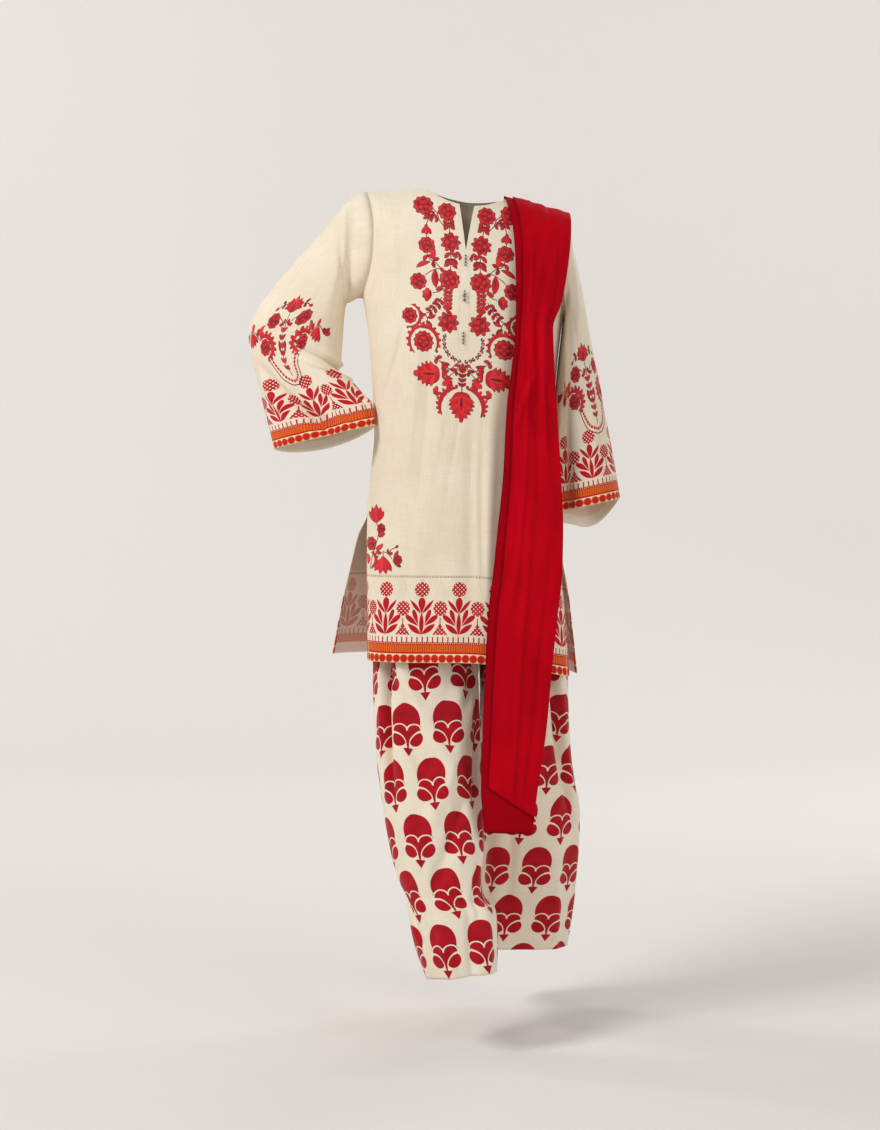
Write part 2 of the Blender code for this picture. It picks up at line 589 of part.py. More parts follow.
def cloth(name, points, wall, paint_name, ring=False, seams=()):
    """A piece of cloth as a closed wall under a grid of points, rows by columns."""
    normal = grid_normals(points, ring)
    for edge, across in seams:
        normal[EDGES[edge]] = lean_away(normal[EDGES[edge]], np.asarray(across, float))
    rows, columns = points.shape[:2]
    mesh = bmesh.new()
    outer, inner = (
        [[mesh.verts.new(point) for point in row] for row in layer]
        for layer in (points, points - wall * normal)
    )
    width = columns if ring else columns - 1
    for i in range(rows - 1):
        for j in range(width):
            corners = ((i, j), (i + 1, j), (i + 1, (j + 1) % columns), (i, (j + 1) % columns))
            falling, rising = (np.linalg.norm(points[corners[n]] - points[corners[n + 2]]) for n in (0, 1))
            halves = ((0, 1, 2), (0, 2, 3)) if falling < rising else ((0, 1, 3), (1, 2, 3))
            for half in halves:
                a, b, c = (corners[n] for n in half)
                mesh.faces.new((outer[a[0]][a[1]], outer[b[0]][b[1]], outer[c[0]][c[1]]))
                mesh.faces.new((inner[c[0]][c[1]], inner[b[0]][b[1]], inner[a[0]][a[1]]))
    for j in range(width):
        k = (j + 1) % columns
        mesh.faces.new((outer[0][j], outer[0][k], inner[0][k], inner[0][j]))
        mesh.faces.new((inner[-1][j], inner[-1][k], outer[-1][k], outer[-1][j]))
    if not ring:
        for i in range(rows - 1):
            mesh.faces.new((inner[i][0], inner[i + 1][0], outer[i + 1][0], outer[i][0]))
            mesh.faces.new((outer[i][-1], outer[i + 1][-1], inner[i + 1][-1], inner[i][-1]))
    return finish(name, mesh, paint_name)


def finish(name, mesh, paint_name):
    bmesh.ops.recalc_face_normals(mesh, faces=mesh.faces)
    data = bpy.data.meshes.new(name)
    mesh.to_mesh(data)
    mesh.free()
    data.shade_smooth()
    data.set_sharp_from_angle(angle=math.radians(50))
    data.materials.append(paint(paint_name))
    node = bpy.data.objects.new(name, data)
    bpy.context.scene.collection.objects.link(node)
    return node


# Bead drops: the drop of the top bead, and each bead's radius, from the top down.
BEAD_DROPS = {
    "button_top": (0.133, (0.0016, 0.0019, 0.0019, 0.0016)),
    "button_middle": (0.196, (0.0016, 0.0037, 0.0026)),
    "button_bottom": (0.268, (0.0017, 0.0019, 0.0019, 0.0017)),
}
BEAD_THREAD = 0.0007
BEAD_GAP = 0.0022  # thread shown between two beads


def bead_profile(radii, steps):
    """(height, radius) down a drop of beads on one thread, below its top."""
    profile, height = [(0.0, 0.0002)], 0.0
    for radius in radii:
        for angle in np.linspace(0, math.pi, steps + 2)[1:-1]:
            profile.append((height - radius * (1 - math.cos(angle)), max(radius * math.sin(angle), BEAD_THREAD)))
        height -= 2 * radius
        if radius is not radii[-1]:
            height -= BEAD_GAP
    return [*profile, (height, 0.0002)]


def bead_drop(name, top_drop, radii, sides=8):
    """A drop of beads turned about its thread, laid on the front along the slope of the chest."""
    foot_drop = top_drop + 2 * sum(radii) + BEAD_GAP * (len(radii) - 1)
    top, foot = body(FRONT, np.zeros(2), np.array([top_drop, foot_drop]))
    down = (foot - top) / np.linalg.norm(foot - top)
    outward = np.cross([1, 0, 0], down)
    outward *= -np.sign(outward[1]) if outward[1] > 0 else 1
    start = top + outward * (max(radii) + SEAM)
    mesh = bmesh.new()
    rings = []
    for height, radius in bead_profile(radii, steps=5):
        turn = 2 * math.pi * np.arange(sides) / sides
        ring = start - down * height + radius * (
            np.cos(turn)[:, None] * np.array([1, 0, 0]) + np.sin(turn)[:, None] * outward
        )
        rings.append([mesh.verts.new(point) for point in ring])
    for above, below in zip(rings, rings[1:]):
        for j in range(sides):
            k = (j + 1) % sides
            mesh.faces.new((above[j], above[k], below[k], below[j]))
    mesh.faces.new(rings[0])
    mesh.faces.new(rings[-1])
    return finish(name, mesh, "bead_metal")


def build_kameez():
    across = {
        FRONT: mirrored((0, 0.037, 0.0745, 0.17, 0.27, 0.35, 0.4084, 0.55, 0.692, 0.82, 0.921, 0.9817, 1)),
        BACK: mirrored((0, 0.15, 0.28, 0.4084, 0.6, 0.77, 0.90, 0.975, 1)),
    }
    rows = body_rows(9, (0.10, 0.22, 0.34, 0.46, 0.57, 0.68, 0.772, 0.89, 1.0))
    armhole_rows = 9
    names = {FRONT: "kameez_front", BACK: "kameez_back"}
    for face, name in names.items():
        other = (0, -face, 0)
        points = body_panel(face, across[face], rows)
        # Round the armhole the sleeve is across the seam, and below it the other panel.
        sides = np.where(np.arange(len(rows))[:, None] < armhole_rows, [[1.0, 0, 0]], [other])
        first, last = sides * [[face, 1, 1]], sides * [[-face, 1, 1]]
        cloth(name, points, WALL, "cream_cloth", seams=(("top", other), ("first", first), ("last", last)))
        band = border_panel(face, across[face], 3)
        cloth(name + "_border", band, WALL, "border_print")


def build_sleeves():
    runs = {
        RIGHT: np.array([0, 0.6, 1.5, 2.5, 3.5, 4.5, 5.5, 6.5, 7.5, 8.5, 9.5, 10.7, 12]),
        LEFT: np.array([0, 0.6, 1.5, 2.5, 3.7, 5, 6.2, 7.5, 8.8, 10]),
    }
    for side, name in ((RIGHT, "sleeve_right"), (LEFT, "sleeve_left")):
        points = sleeve(side, armhole_loop(side, 9), runs[side])
        if side == RIGHT:
            points = points[:, ::-1]
        cloth(name, points, WALL, "cream_cloth", ring=True, seams=(("top", (-side, 0, 0)),))


def build_shalwar():
    drops = np.array([
        WAIST_DROP, 0.47, 0.52, 0.57, 0.62, 0.665, 0.705, 0.745, 0.80, 0.86, 0.92, 0.98, 1.04, 1.10,
        1.16, 1.21, 1.25, 1.285, 1.33, 1.392,
    ])
    turns = np.linspace(0, 1, 25)
    for side, name in ((RIGHT, "shalwar_leg_right"), (LEFT, "shalwar_leg_left")):
        points = leg(side, turns, drops[:, None])
        below = drops[:, None] >= CROTCH_DROP
        first = np.where(below, [[0.0, 1, 0]], [[-side, 0, 0]])
        last = np.where(below, [[0.0, -1, 0]], [[-side, 0, 0]])
        seams = (("first", first), ("last", last))
        if side == RIGHT:
            points, seams = points[:, ::-1], (("first", last), ("last", first))
        cloth(name, points, WALL, "trouser_print", seams=seams)
    cloth("shalwar_waistband", waistband(16, 1), BAND_WALL, "waistband_cloth", ring=True)


def main():
    for old in list(bpy.data.objects):
        bpy.data.objects.remove(old)
    build_kameez()
    build_sleeves()
    build_shalwar()
    stations = np.concatenate([np.arange(10), np.arange(10, 19, 0.34), np.arange(19, 24)])
    cloth("dupatta", scarf_grid(6, 3, stations), WALL, "red_cloth")
    for name, (top_drop, radii) in BEAD_DROPS.items():
        bead_drop(name, top_drop, radii)


main()
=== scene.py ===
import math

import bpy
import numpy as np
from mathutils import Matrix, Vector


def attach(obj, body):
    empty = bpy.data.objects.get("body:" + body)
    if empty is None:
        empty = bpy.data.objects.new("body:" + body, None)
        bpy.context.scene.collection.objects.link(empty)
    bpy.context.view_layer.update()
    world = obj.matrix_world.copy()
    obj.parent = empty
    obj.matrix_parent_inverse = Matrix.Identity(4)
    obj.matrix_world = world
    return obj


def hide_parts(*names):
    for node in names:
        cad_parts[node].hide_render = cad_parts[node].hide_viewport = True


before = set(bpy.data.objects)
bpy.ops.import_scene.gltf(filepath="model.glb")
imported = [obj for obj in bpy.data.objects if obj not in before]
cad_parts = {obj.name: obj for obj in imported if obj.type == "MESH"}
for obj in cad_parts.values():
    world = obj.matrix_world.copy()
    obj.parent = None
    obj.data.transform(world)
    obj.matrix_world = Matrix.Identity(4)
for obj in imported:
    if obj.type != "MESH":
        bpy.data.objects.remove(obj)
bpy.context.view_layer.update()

# A salwar kameez suit, dressed: cloth shells with folds, prints, raised embroidery and beads.
#
# Metres, +Z up, the front towards -Y and the wearer's left towards +X. A drop is a height below the
# neck end of the right shoulder seam, positive downwards. Prints and embroidery are in millimetres.

WALL = 0.0012  # a cloth wall
SCARF_WALL = 0.0009  # one layer of the dupatta
SEAM = 0.0003  # between pieces at a seam
BASE = 0.020  # the origin is this far below the neck ends of the shoulder seams

FRONT, BACK = -1, 1
RIGHT, LEFT = -1, 1
SIDES = ((RIGHT, "right"), (LEFT, "left"))

NECK_HALF = 0.0735
NECK_FRONT_DROP = 0.041
NECK_BACK_DROP = 0.020
SLIT_HALF = 0.0134  # the neck slit at its mouth
SLIT_FOOT_DROP = 0.124
SHOULDER_RISE = 0.002
SHOULDER_SLOPE = 0.188
SHOULDER_HALF = 0.180
UNDERARM_DROP = 0.219
BORDER_DROP = 0.693
HEM_DROP = 0.843
LEAN = 0.120  # the right shoulder is raised, so the kameez slants to the left down to the waist
LEFT_DIP = 0.87  # and its hem only dips, with the square of the distance, on the left
MIDDLE_DRIFT = 0.029  # its middle line drifts to the right

WAIST_DROP = 0.430
WAISTBAND_TOP_DROP = 0.395
RISE_DROP = 0.600  # the front and back rises start to turn in
CROTCH_DROP = 0.745
LEG_FOOT_DROP = 1.392
CROTCH_X = 0.008

BODY_FULLNESS = 2.4  # exponents of the sections, 2 for an ellipse
LEG_FULLNESS = 2.3

SCARF_HALF = 0.0022  # half the thickness of the folded dupatta
SCARF_REVEAL = 0.13  # the under layer shows along this share of the width
# The upper layer's hems, in shares of the length
SCARF_TOP_ENDS = {"front": (0.036, 0.014), "back": (0.955, 0.975)}

# Steps of the grids, on a kameez panel from the middle out
PANEL_STEPS = {FRONT: (5, 14, 26, 7), BACK: (16, 24, 7)}
PANEL_EDGE = 0.94  # from this share of the half width on, the columns are closer
ARMHOLE_STEPS, PANEL_ROWS, BAND_ROWS = 54, 111, 39
SLEEVE_LOOP, SLEEVE_CAP_ROWS, SLEEVE_ROWS = 60, 8, 90
LEG_TURNS = ((0, 0.25, 32), (0.25, 0.46, 74), (0.46, 1, 73))  # closer where the long pleat is
LEG_ROWS = (55, 123)  # above the crotch and below it
WAISTBAND_STEPS, WAISTBAND_ROWS, GATHERS, RIBS = 90, 12, 64, 4
SCARF_ROWS = ((0, 10, 109), (10, 19, 109), (19, 23, 59))  # rows between the lines of the table
SCARF_LAYER, SCARF_BEND = 60, 9

SHORT_NAMES = {"shalwar_waistband": "waistband"}  # of cloths that aren't named like their nodes

# Prints: how far each is shifted along its cloth, its scales on the sleeves, and where it starts
PLANT_PITCH = 66.0
BUTA_ACROSS, BUTA_DOWN = 77.0, 196.0
PRINT_SHIFT = {FRONT: -0.0065, BACK: 0.010}
CUFF_PRINT = {RIGHT: (0.034, 1.18, 1.12), LEFT: (0.010, 1.06, 1.08)}
SLEEVE_AXIS = {RIGHT: 0.30, LEFT: 0.25}
TROUSER_SHIFT = {RIGHT: (0.0625, 0.147, -0.03), LEFT: (0.040, 0.033, 0.11)}  # along, up and shear
LEG_AXIS = 0.25

# The sleeves' embroidery: its place on the cloth, its tilt, and its scale across and down
SLEEVE_ART = {
    "right": ((-61, -204), -0.06, (0.98, 1.16)),
    "left": ((-30, -206), 0.12, (1.08, 1.10)),
}

# Bead drops: the drop of the top bead, and each bead's radius, from the top down.
BEAD_DROPS = {
    "button_top": (0.133, (0.0016, 0.0019, 0.0019, 0.0016)),
    "button_middle": (0.196, (0.0016, 0.0037, 0.0026)),
    "button_bottom": (0.268, (0.0017, 0.0019, 0.0019, 0.0017)),
}
BEAD_GAP = 0.0022  # thread shown between two beads
BEAD_SIDES = 16
RING_RADIUS = 0.003  # a bead above this radius is an open ring
RING_WIDE = 0.78  # the ring's width as a share of its height


def table(columns, *texts):
    """A dict of one array for each named column. A text has a row on each line."""
    lines = "\n".join(text.strip() for text in texts).splitlines()
    return dict(zip(columns.split(), np.array([line.split() for line in lines], float).T))


def curve(tab, key, column, at):
    """A smooth curve through a table's rows that never overshoots them."""
    xs, ys = tab[key], tab[column]
    step = np.diff(xs)
    slope = np.diff(ys) / step
    tangent = np.concatenate([slope[:1], np.zeros(len(slope) - 1), slope[-1:]])
    product = slope[:-1] * slope[1:]
    total = np.where(product > 0, slope[:-1] + slope[1:], 1)
    tangent[1:-1] = np.where(product > 0, 2 * product / total, 0)
    at = np.clip(at, xs[0], xs[-1])
    i = np.clip(np.searchsorted(xs, at) - 1, 0, len(step) - 1)
    t = (at - xs[i]) / step[i]
    low = ys[i] * (1 + 2 * t) + tangent[i] * step[i] * t
    high = ys[i + 1] * (3 - 2 * t) + tangent[i + 1] * step[i] * (t - 1)
    return low * (1 - t) ** 2 + high * t * t


def rows_at(tab, key, at):
    """Every column of a table, read at the same places."""
    return {name: curve(tab, key, name, at) for name in tab}


def smooth_step(t):
    t = np.clip(t, 0, 1)
    return t * t * (3 - 2 * t)


def unit(vectors):
    return vectors / np.linalg.norm(vectors, axis=-1, keepdims=True)


def stretches(*parts):
    """Even steps from place to place: each part is a start, an end and a number of steps."""
    pieces = [np.linspace(start, end, steps + 1)[:-1] for start, end, steps in parts]
    return np.concatenate([*pieces, [parts[-1][1]]])


# Folds, the largest first: where each starts and ends, its place across at both, its half width and
# its depth
FOLD_COLUMNS = "top low across_top across_low width depth"


def folds(tab, across, drop):
    """How far a surface stands out: a ridge, or a trough with a negative depth, for each row."""
    total = np.zeros(np.broadcast(across, drop).shape)
    for top, low, a, b, width, depth in zip(*(tab[name] for name in FOLD_COLUMNS.split())):
        t = (drop - top) / (low - top)
        fade = smooth_step(t * 3) * smooth_step((1 - t) * 3)
        middle = a + (b - a) * t
        total += depth * fade * np.exp(-(((across - middle) / width) ** 2))
    return total


# Kameez

BODY_COLUMNS = "drop right left seam_y"
BODY_ROWS = """
0 0.216 0.212 0
0.05 0.214 0.21 0
0.1 0.209 0.204 0
0.15 0.199 0.191 0
0.18 0.1925 0.181 0
0.219 0.187 0.171 0
0.25 0.181 0.167 0
0.3 0.175 0.1615 0
0.36 0.171 0.1575 0
0.45 0.167 0.156 0
0.52 0.174 0.156 0
0.585 0.1795 0.16 0
"""
BODY = {
    FRONT: table(BODY_COLUMNS, BODY_ROWS, """
0.64 0.18 0.165 -0.02
0.693 0.18 0.171 -0.034
0.765 0.179 0.177 -0.046
0.843 0.178 0.182 -0.054
"""),
    BACK: table(BODY_COLUMNS, BODY_ROWS, """
0.624 0.197 0.169 0.014
0.66 0.2065 0.177 0.027
0.693 0.2145 0.184 0.038
0.74 0.226 0.191 0.052
0.843 0.2463 0.2035 0.072
"""),
}
# The kameez's depth at its middle, by the distance below the shoulder ridge.
DEPTH = table("below front back", """
0 0 0
0.004 0.016 0.019
0.012 0.034 0.04
0.022 0.05 0.057
0.039 0.068 0.074
0.08 0.092 0.092
0.14 0.115 0.106
0.2 0.131 0.11
0.27 0.141 0.106
0.36 0.136 0.097
0.46 0.129 0.095
0.62 0.131 0.118
0.86 0.136 0.142
""")
ARMHOLE = table("drop right left", """
0.0318 0.18 0.178
0.06 0.1715 0.169
0.1 0.1665 0.163
0.14 0.1675 0.161
0.175 0.173 0.163
0.2 0.1805 0.167
0.219 0.187 0.171
""")
BODY_FOLDS = {
    FRONT: table(FOLD_COLUMNS, """
0.2 0.6 -0.42 -0.62 0.055 0.0045
0.22 0.56 -0.6 -0.78 0.045 -0.004
0.24 0.62 -0.3 -0.44 0.05 -0.003
0.3 0.9 0.12 0.16 0.07 -0.0035
0.3 0.95 0.34 0.3 0.06 0.0045
0.45 1 -0.86 -0.8 0.05 0.004
0.55 1.1 -0.3 -0.24 0.11 -0.004
0.6 1.1 0.62 0.64 0.08 -0.0045
0.205 0.42 -0.52 -0.96 0.034 0.0034
0.25 0.43 -0.56 -0.92 0.026 -0.0022
0.29 0.4 -0.66 -0.92 0.022 0.0026
0.33 0.56 -0.1 -0.34 0.026 0.0014
0.37 0.6 0.02 -0.16 0.024 -0.0012
0.4 0.74 0.17 0.22 0.024 0.0024
0.42 0.78 0.24 0.27 0.02 -0.0024
0.52 0.76 -0.66 -0.6 0.04 0.0022
0.56 0.8 -0.46 -0.52 0.036 -0.0016
0.07 0.26 -0.8 -0.66 0.034 0.0026
0.1 0.27 -0.9 -0.82 0.024 -0.002
0.64 0.86 -0.04 -0.02 0.06 0.0022
"""),
    BACK: table(FOLD_COLUMNS, """
0.18 0.62 -0.46 -0.4 0.06 0.0045
0.22 0.7 0.05 0.02 0.07 -0.004
0.2 0.6 0.48 0.42 0.06 0.004
0.5 1.15 -0.55 -0.62 0.09 0.0075
0.5 1.15 -0.2 -0.22 0.09 -0.006
0.5 1.15 0.2 0.2 0.1 0.007
0.5 1.15 0.62 0.66 0.08 -0.006
0.12 0.42 -0.7 -0.62 0.03 0.0026
0.2 0.52 -0.28 -0.16 0.03 0.0022
0.26 0.62 0.26 0.18 0.028 -0.002
0.13 0.4 0.74 0.6 0.03 0.0026
0.42 0.9 -0.36 -0.42 0.04 0.003
0.44 0.9 0.4 0.46 0.04 0.003
"""),
}


def ridge_drop(x):
    """The drop of the shoulder ridge, before the kameez leans."""
    return SHOULDER_SLOPE * np.abs(x) - SHOULDER_RISE


def half_widths(tab, x, drop):
    """The half width of a table on the side of each x."""
    return np.where(x < 0, curve(tab, "drop", "right", drop), curve(tab, "drop", "left", drop))


def body(face, across, drop):
    """Points of the kameez. across runs from -1 at the wearer's right edge to 1 at the left one."""
    across, drop = np.broadcast_arrays(np.asarray(across, float), np.asarray(drop, float))
    form = BODY[face]
    half, hole = (half_widths(tab, across, drop) for tab in (form, ARMHOLE))
    x = across * np.where(drop < UNDERARM_DROP, hole, half)
    full = np.clip(1 - np.abs(x / half) ** BODY_FULLNESS, 0, 1) ** (1 / BODY_FULLNESS)
    below = np.clip(drop - ridge_drop(x), 0, None)
    depth = curve(DEPTH, "below", "front" if face == FRONT else "back", below)
    seam_y = curve(form, "drop", "seam_y", drop)
    depth = depth + folds(BODY_FOLDS[face], across, drop)
    y = seam_y + (face * depth - seam_y) * full + face * SEAM / 2
    hang = smooth_step((drop - 0.20) / 0.45)
    slant = (1 - hang) * LEAN * x + hang * LEFT_DIP * np.clip(x, 0, None) ** 2
    return np.stack([x - MIDDLE_DRIFT * drop * (1 - across**2), y, BASE - drop - slant], axis=-1)


def neck_drop(face, x):
    """The drop of the cut edge at the top of the front or back, at a distance x from its middle."""
    x = np.abs(x)
    middle, power = (NECK_FRONT_DROP, 2.1) if face == FRONT else (NECK_BACK_DROP, 2.0)
    side = ridge_drop(NECK_HALF)
    round_neck = middle + (side - middle) * np.clip(x / NECK_HALF, 0, 1) ** power
    if face == FRONT:
        slit = SLIT_FOOT_DROP + (middle - SLIT_FOOT_DROP) * x / SLIT_HALF
        round_neck = np.where(x < SLIT_HALF, slit, round_neck)
    return np.where(x < NECK_HALF, round_neck, ridge_drop(x))


# Sleeves

# Each row is one section, named by the ends of its long axis as seen from the front. swing is how
# much further forward its inner end is than its outer one, and sag how much lower its back is than
# its front.
SLEEVE_COLUMNS = "run outer_x outer_drop inner_x inner_drop mid_y depth swing sag"
SLEEVE = {
    RIGHT: table(SLEEVE_COLUMNS, """
0 -0.18 0.01 -0.187 0.198 0 0.064 0 0
1 -0.203 0.02 -0.203 0.203 0.002 0.06 0 0
2 -0.229 0.045 -0.2185 0.208 0.004 0.066 0.002 0
3 -0.262 0.083 -0.2205 0.222 0.006 0.066 0.004 0
4 -0.306 0.131 -0.2225 0.243 0.008 0.063 0.008 0
5 -0.346 0.176 -0.224 0.267 0.01 0.06 0.014 0.002
6 -0.378 0.22 -0.2255 0.291 0.01 0.058 0.022 0.004
7 -0.392 0.257 -0.2265 0.311 0.008 0.056 0.03 0.006
8 -0.389 0.298 -0.228 0.328 0.004 0.054 0.038 0.009
9 -0.379 0.334 -0.208 0.347 -0.004 0.051 0.046 0.012
10 -0.367 0.385 -0.186 0.371 -0.014 0.048 0.052 0.015
11 -0.356 0.426 -0.168 0.392 -0.024 0.046 0.056 0.018
12 -0.345 0.468 -0.163 0.427 -0.034 0.044 0.06 0.02
"""),
    LEFT: table(SLEEVE_COLUMNS, """
0 0.178 0.053 0.171 0.238 0 0.064 0 0
1 0.182 0.078 0.1735 0.247 -0.001 0.066 0 0
2 0.189 0.115 0.1714 0.258 -0.003 0.068 0 0
3 0.199 0.16 0.169 0.276 -0.006 0.069 0 0
4 0.208 0.212 0.1658 0.302 -0.01 0.069 0 0.002
5 0.217 0.268 0.1629 0.334 -0.014 0.069 0 0.005
6 0.2275 0.324 0.1604 0.372 -0.018 0.07 0 0.01
7 0.238 0.38 0.1588 0.416 -0.022 0.072 0 0.016
8 0.2485 0.436 0.1573 0.465 -0.026 0.074 0 0.023
9 0.26 0.496 0.1572 0.522 -0.03 0.077 0 0.032
10 0.271 0.556 0.1575 0.58 -0.034 0.079 0 0.042
"""),
}
# Folds by the run along a sleeve and the turn round it, from 0 at its outer edge through 0.25 in
# front
SLEEVE_FOLDS = {
    RIGHT: table(FOLD_COLUMNS, """
0.1 2.6 0.2 0.3 0.12 -0.009
1 5.5 0.26 0.36 0.06 0.006
3 9 0.13 0.22 0.04 -0.005
5.5 12 0.38 0.3 0.05 0.006
6.5 14.5 0.2 0.27 0.035 -0.0085
7 15 0.12 0.16 0.045 0.005
2 9 0.7 0.64 0.06 0.006
4 12 0.82 0.78 0.05 -0.006
1.3 2.5 0.1 0.6 0.12 0.005
0.75 1.75 0.1 0.56 0.09 -0.002
6.9 8.5 0.24 0.6 0.045 -0.01
6.3 7.8 0.24 0.6 0.045 0.006
7.5 9.3 0.24 0.58 0.04 0.007
8.2 13.4 0.095 0.345 0.019 -0.0125
8.2 13.6 0.045 0.295 0.024 0.0075
8.6 13.2 0.145 0.4 0.022 0.006
9 13.6 0.42 0.46 0.022 -0.006
2.4 6.4 0.1 0.2 0.03 0.0026
3.6 8.2 0.06 0.13 0.022 -0.0022
5 11 0.6 0.74 0.026 0.0034
6 12.4 0.88 0.8 0.026 -0.003
"""),
    LEFT: table(FOLD_COLUMNS, """
0.6 4.5 0.18 0.26 0.08 -0.004
3.5 13 0.385 0.375 0.03 -0.008
3.5 13 0.315 0.3 0.04 0.005
2 11 0.08 0.06 0.06 0.003
4 13 0.66 0.7 0.05 -0.006
3 12 0.8 0.82 0.05 0.005
0.2 8.6 0.5 0.5 0.09 0.0024
6.6 9.6 0.5 0.5 0.09 0.0005
1.4 5.6 0.12 0.2 0.026 0.0026
3 7.4 0.26 0.18 0.022 -0.0022
4.6 9.6 0.1 0.22 0.022 0.0026
5.8 12 0.24 0.2 0.03 -0.0024
3 8 0.58 0.66 0.026 0.003
4.6 10.6 0.9 0.82 0.026 -0.0028
"""),
}


def eased(steps):
    """Shares from 0 to 1, closer at both ends."""
    return (1 - np.cos(np.linspace(0, math.pi, steps + 1))) / 2


def armhole_loop(side):
    """The loop of an armhole's cut edge, from the shoulder tip down the front and up the back."""
    tip = float(ridge_drop(SHOULDER_HALF))
    drop = tip + (UNDERARM_DROP - tip) * eased(SLEEVE_LOOP)
    front, back = (body(face, np.full(len(drop), float(side)), drop) for face in (FRONT, BACK))
    front[[0, -1], 1] = 0
    return np.concatenate([front, back[-2:0:-1]]) + [side * SEAM * 1.3, 0, 0]


def sleeve(side, loop, runs):
    """The grid of a sleeve, a closed ring for each run, starting at the armhole's loop."""
    row = rows_at(SLEEVE[side], "run", runs[:, None])
    turn = np.arange(len(loop)) / len(loop)
    angle = 2 * math.pi * turn
    out = folds(SLEEVE_FOLDS[side], turn, runs[:, None])
    reach = np.hypot(row["outer_x"] - row["inner_x"], row["outer_drop"] - row["inner_drop"]) / 2
    along = np.cos(angle) * (1 + out / reach)
    across = np.sin(angle) * (1 + out / row["depth"])
    ends = ((row["outer" + axis], row["inner" + axis]) for axis in ("_x", "_drop"))
    x, drop = ((outer + inner) / 2 + along * (outer - inner) / 2 for outer, inner in ends)
    y = row["mid_y"] - across * row["depth"] + along * row["swing"] / 2
    sag = row["sag"] * np.clip(-across, 0, None) ** 1.5
    ring = np.stack([x, y, BASE - drop - sag], axis=-1)
    joined = (1 - smooth_step(runs / 2))[:, None, None]
    shift = (ring.mean(axis=1) - loop.mean(axis=0))[:, None]
    points = joined * (loop + shift) + (1 - joined) * ring
    points[0] = loop
    return points


# Shalwar

HIP = table("drop right left front back", """
0.395 0.1335 0.1185 -0.0965 0.0705
0.43 0.135 0.12 -0.098 0.072
0.5 0.145 0.13 -0.104 0.085
0.58 0.158 0.1476 -0.108 0.098
0.66 0.166 0.16 -0.108 0.101
0.745 0.17 0.168 -0.102 0.086
""")
LEG_COLUMNS = "drop outer inner front back"
LEG = {
    RIGHT: table(LEG_COLUMNS, """
0.56 -0.166 0.006 -0.106 0.096
0.745 -0.168 0.0065 -0.102 0.082
0.8 -0.169 0.013 -0.104 0.072
0.88 -0.169 0.0205 -0.11 0.06
0.985 -0.1655 0.0235 -0.128 0.038
1.089 -0.152 0.0275 -0.15 0.01
1.174 -0.137 0.029 -0.17 -0.018
1.226 -0.1222 0.0235 -0.183 -0.036
1.256 -0.11 0.027 -0.19 -0.046
1.285 -0.104 0.049 -0.198 -0.054
1.325 -0.0965 0.053 -0.207 -0.063
1.396 -0.072 0.0515 -0.222 -0.072
"""),
    LEFT: table(LEG_COLUMNS, """
0.56 0.15 0.01 -0.106 0.096
0.745 0.172 0.0105 -0.098 0.086
0.8 0.178 0.0155 -0.09 0.09
0.88 0.183 0.0228 -0.07 0.104
1.003 0.188 0.024 -0.045 0.134
1.076 0.1956 0.0215 -0.028 0.152
1.112 0.2015 0.019 -0.018 0.16
1.19 0.2036 0.016 0 0.178
1.283 0.1986 0.016 0.028 0.2
1.402 0.1898 0.02 0.065 0.225
"""),
}
# Folds by the drop and the turn round a leg, from 0 at its inseam through 0.25 at its front.
LEG_FOLDS = {
    RIGHT: table(FOLD_COLUMNS, """
0.5 1.14 0.385 0.375 0.022 -0.013
0.5 1.2 0.33 0.32 0.035 0.006
0.62 1.02 0.14 0.2 0.05 -0.007
0.78 1.2 0.1 0.24 0.035 0.006
0.98 1.34 0.12 0.3 0.035 -0.006
1.08 1.52 0.08 0.13 0.04 0.006
1.15 1.5 0.22 0.34 0.04 0.005
0.46 0.98 0.62 0.6 0.03 0.008
0.46 1.05 0.72 0.74 0.03 -0.008
0.9 1.55 0.66 0.7 0.05 0.007
1 1.55 0.85 0.8 0.045 -0.006
0.6 1.1 0.386 0.377 0.011 -0.012
0.62 1.12 0.412 0.4 0.014 0.005
0.76 0.96 0.02 0.16 0.018 -0.006
0.8 1 0 0.15 0.018 0.005
0.92 1.12 0.02 0.12 0.016 -0.007
0.72 1.1 0.4 0.15 0.022 0.007
0.78 1.16 0.4 0.19 0.02 -0.008
0.98 1.26 0.16 0.36 0.02 0.0064
1.04 1.3 0.12 0.32 0.02 -0.0066
1.2 1.46 0.18 0.22 0.02 -0.0076
1.24 1.5 0.3 0.26 0.022 0.0064
1.22 1.36 0.5 0.36 0.022 -0.0064
1.16 1.34 0.04 0.2 0.018 -0.007
0.8 1.5 0.06 0.1 0.024 -0.005
0.96 1.5 0.72 0.78 0.022 -0.004
"""),
    LEFT: table(FOLD_COLUMNS, """
0.5 1.22 0.28 0.415 0.026 -0.011
0.5 1.26 0.35 0.46 0.035 0.006
0.95 1.55 0.16 0.14 0.045 0.005
1 1.55 0.26 0.25 0.045 -0.005
1.02 1.42 0.44 0.46 0.04 0.006
0.46 1 0.62 0.6 0.03 0.008
0.46 1.05 0.74 0.72 0.03 -0.008
0.95 1.55 0.62 0.64 0.05 0.007
1 1.55 0.78 0.8 0.05 -0.007
0.6 1.2 0.3 0.416 0.012 -0.01
0.64 1.2 0.33 0.44 0.014 0.005
0.84 1.2 0.16 0.22 0.022 0.0064
0.9 1.4 0.22 0.19 0.02 -0.0074
1.1 1.48 0.34 0.36 0.022 0.0064
1 1.5 0.08 0.1 0.024 -0.005
1 1.52 0.7 0.72 0.022 -0.004
"""),
}
# How much higher a leg's hem is at its inner end than at its outer one, and in front than behind
HEM_RISE = {RIGHT: (0.013, 0.018), LEFT: (0.000, 0.006)}


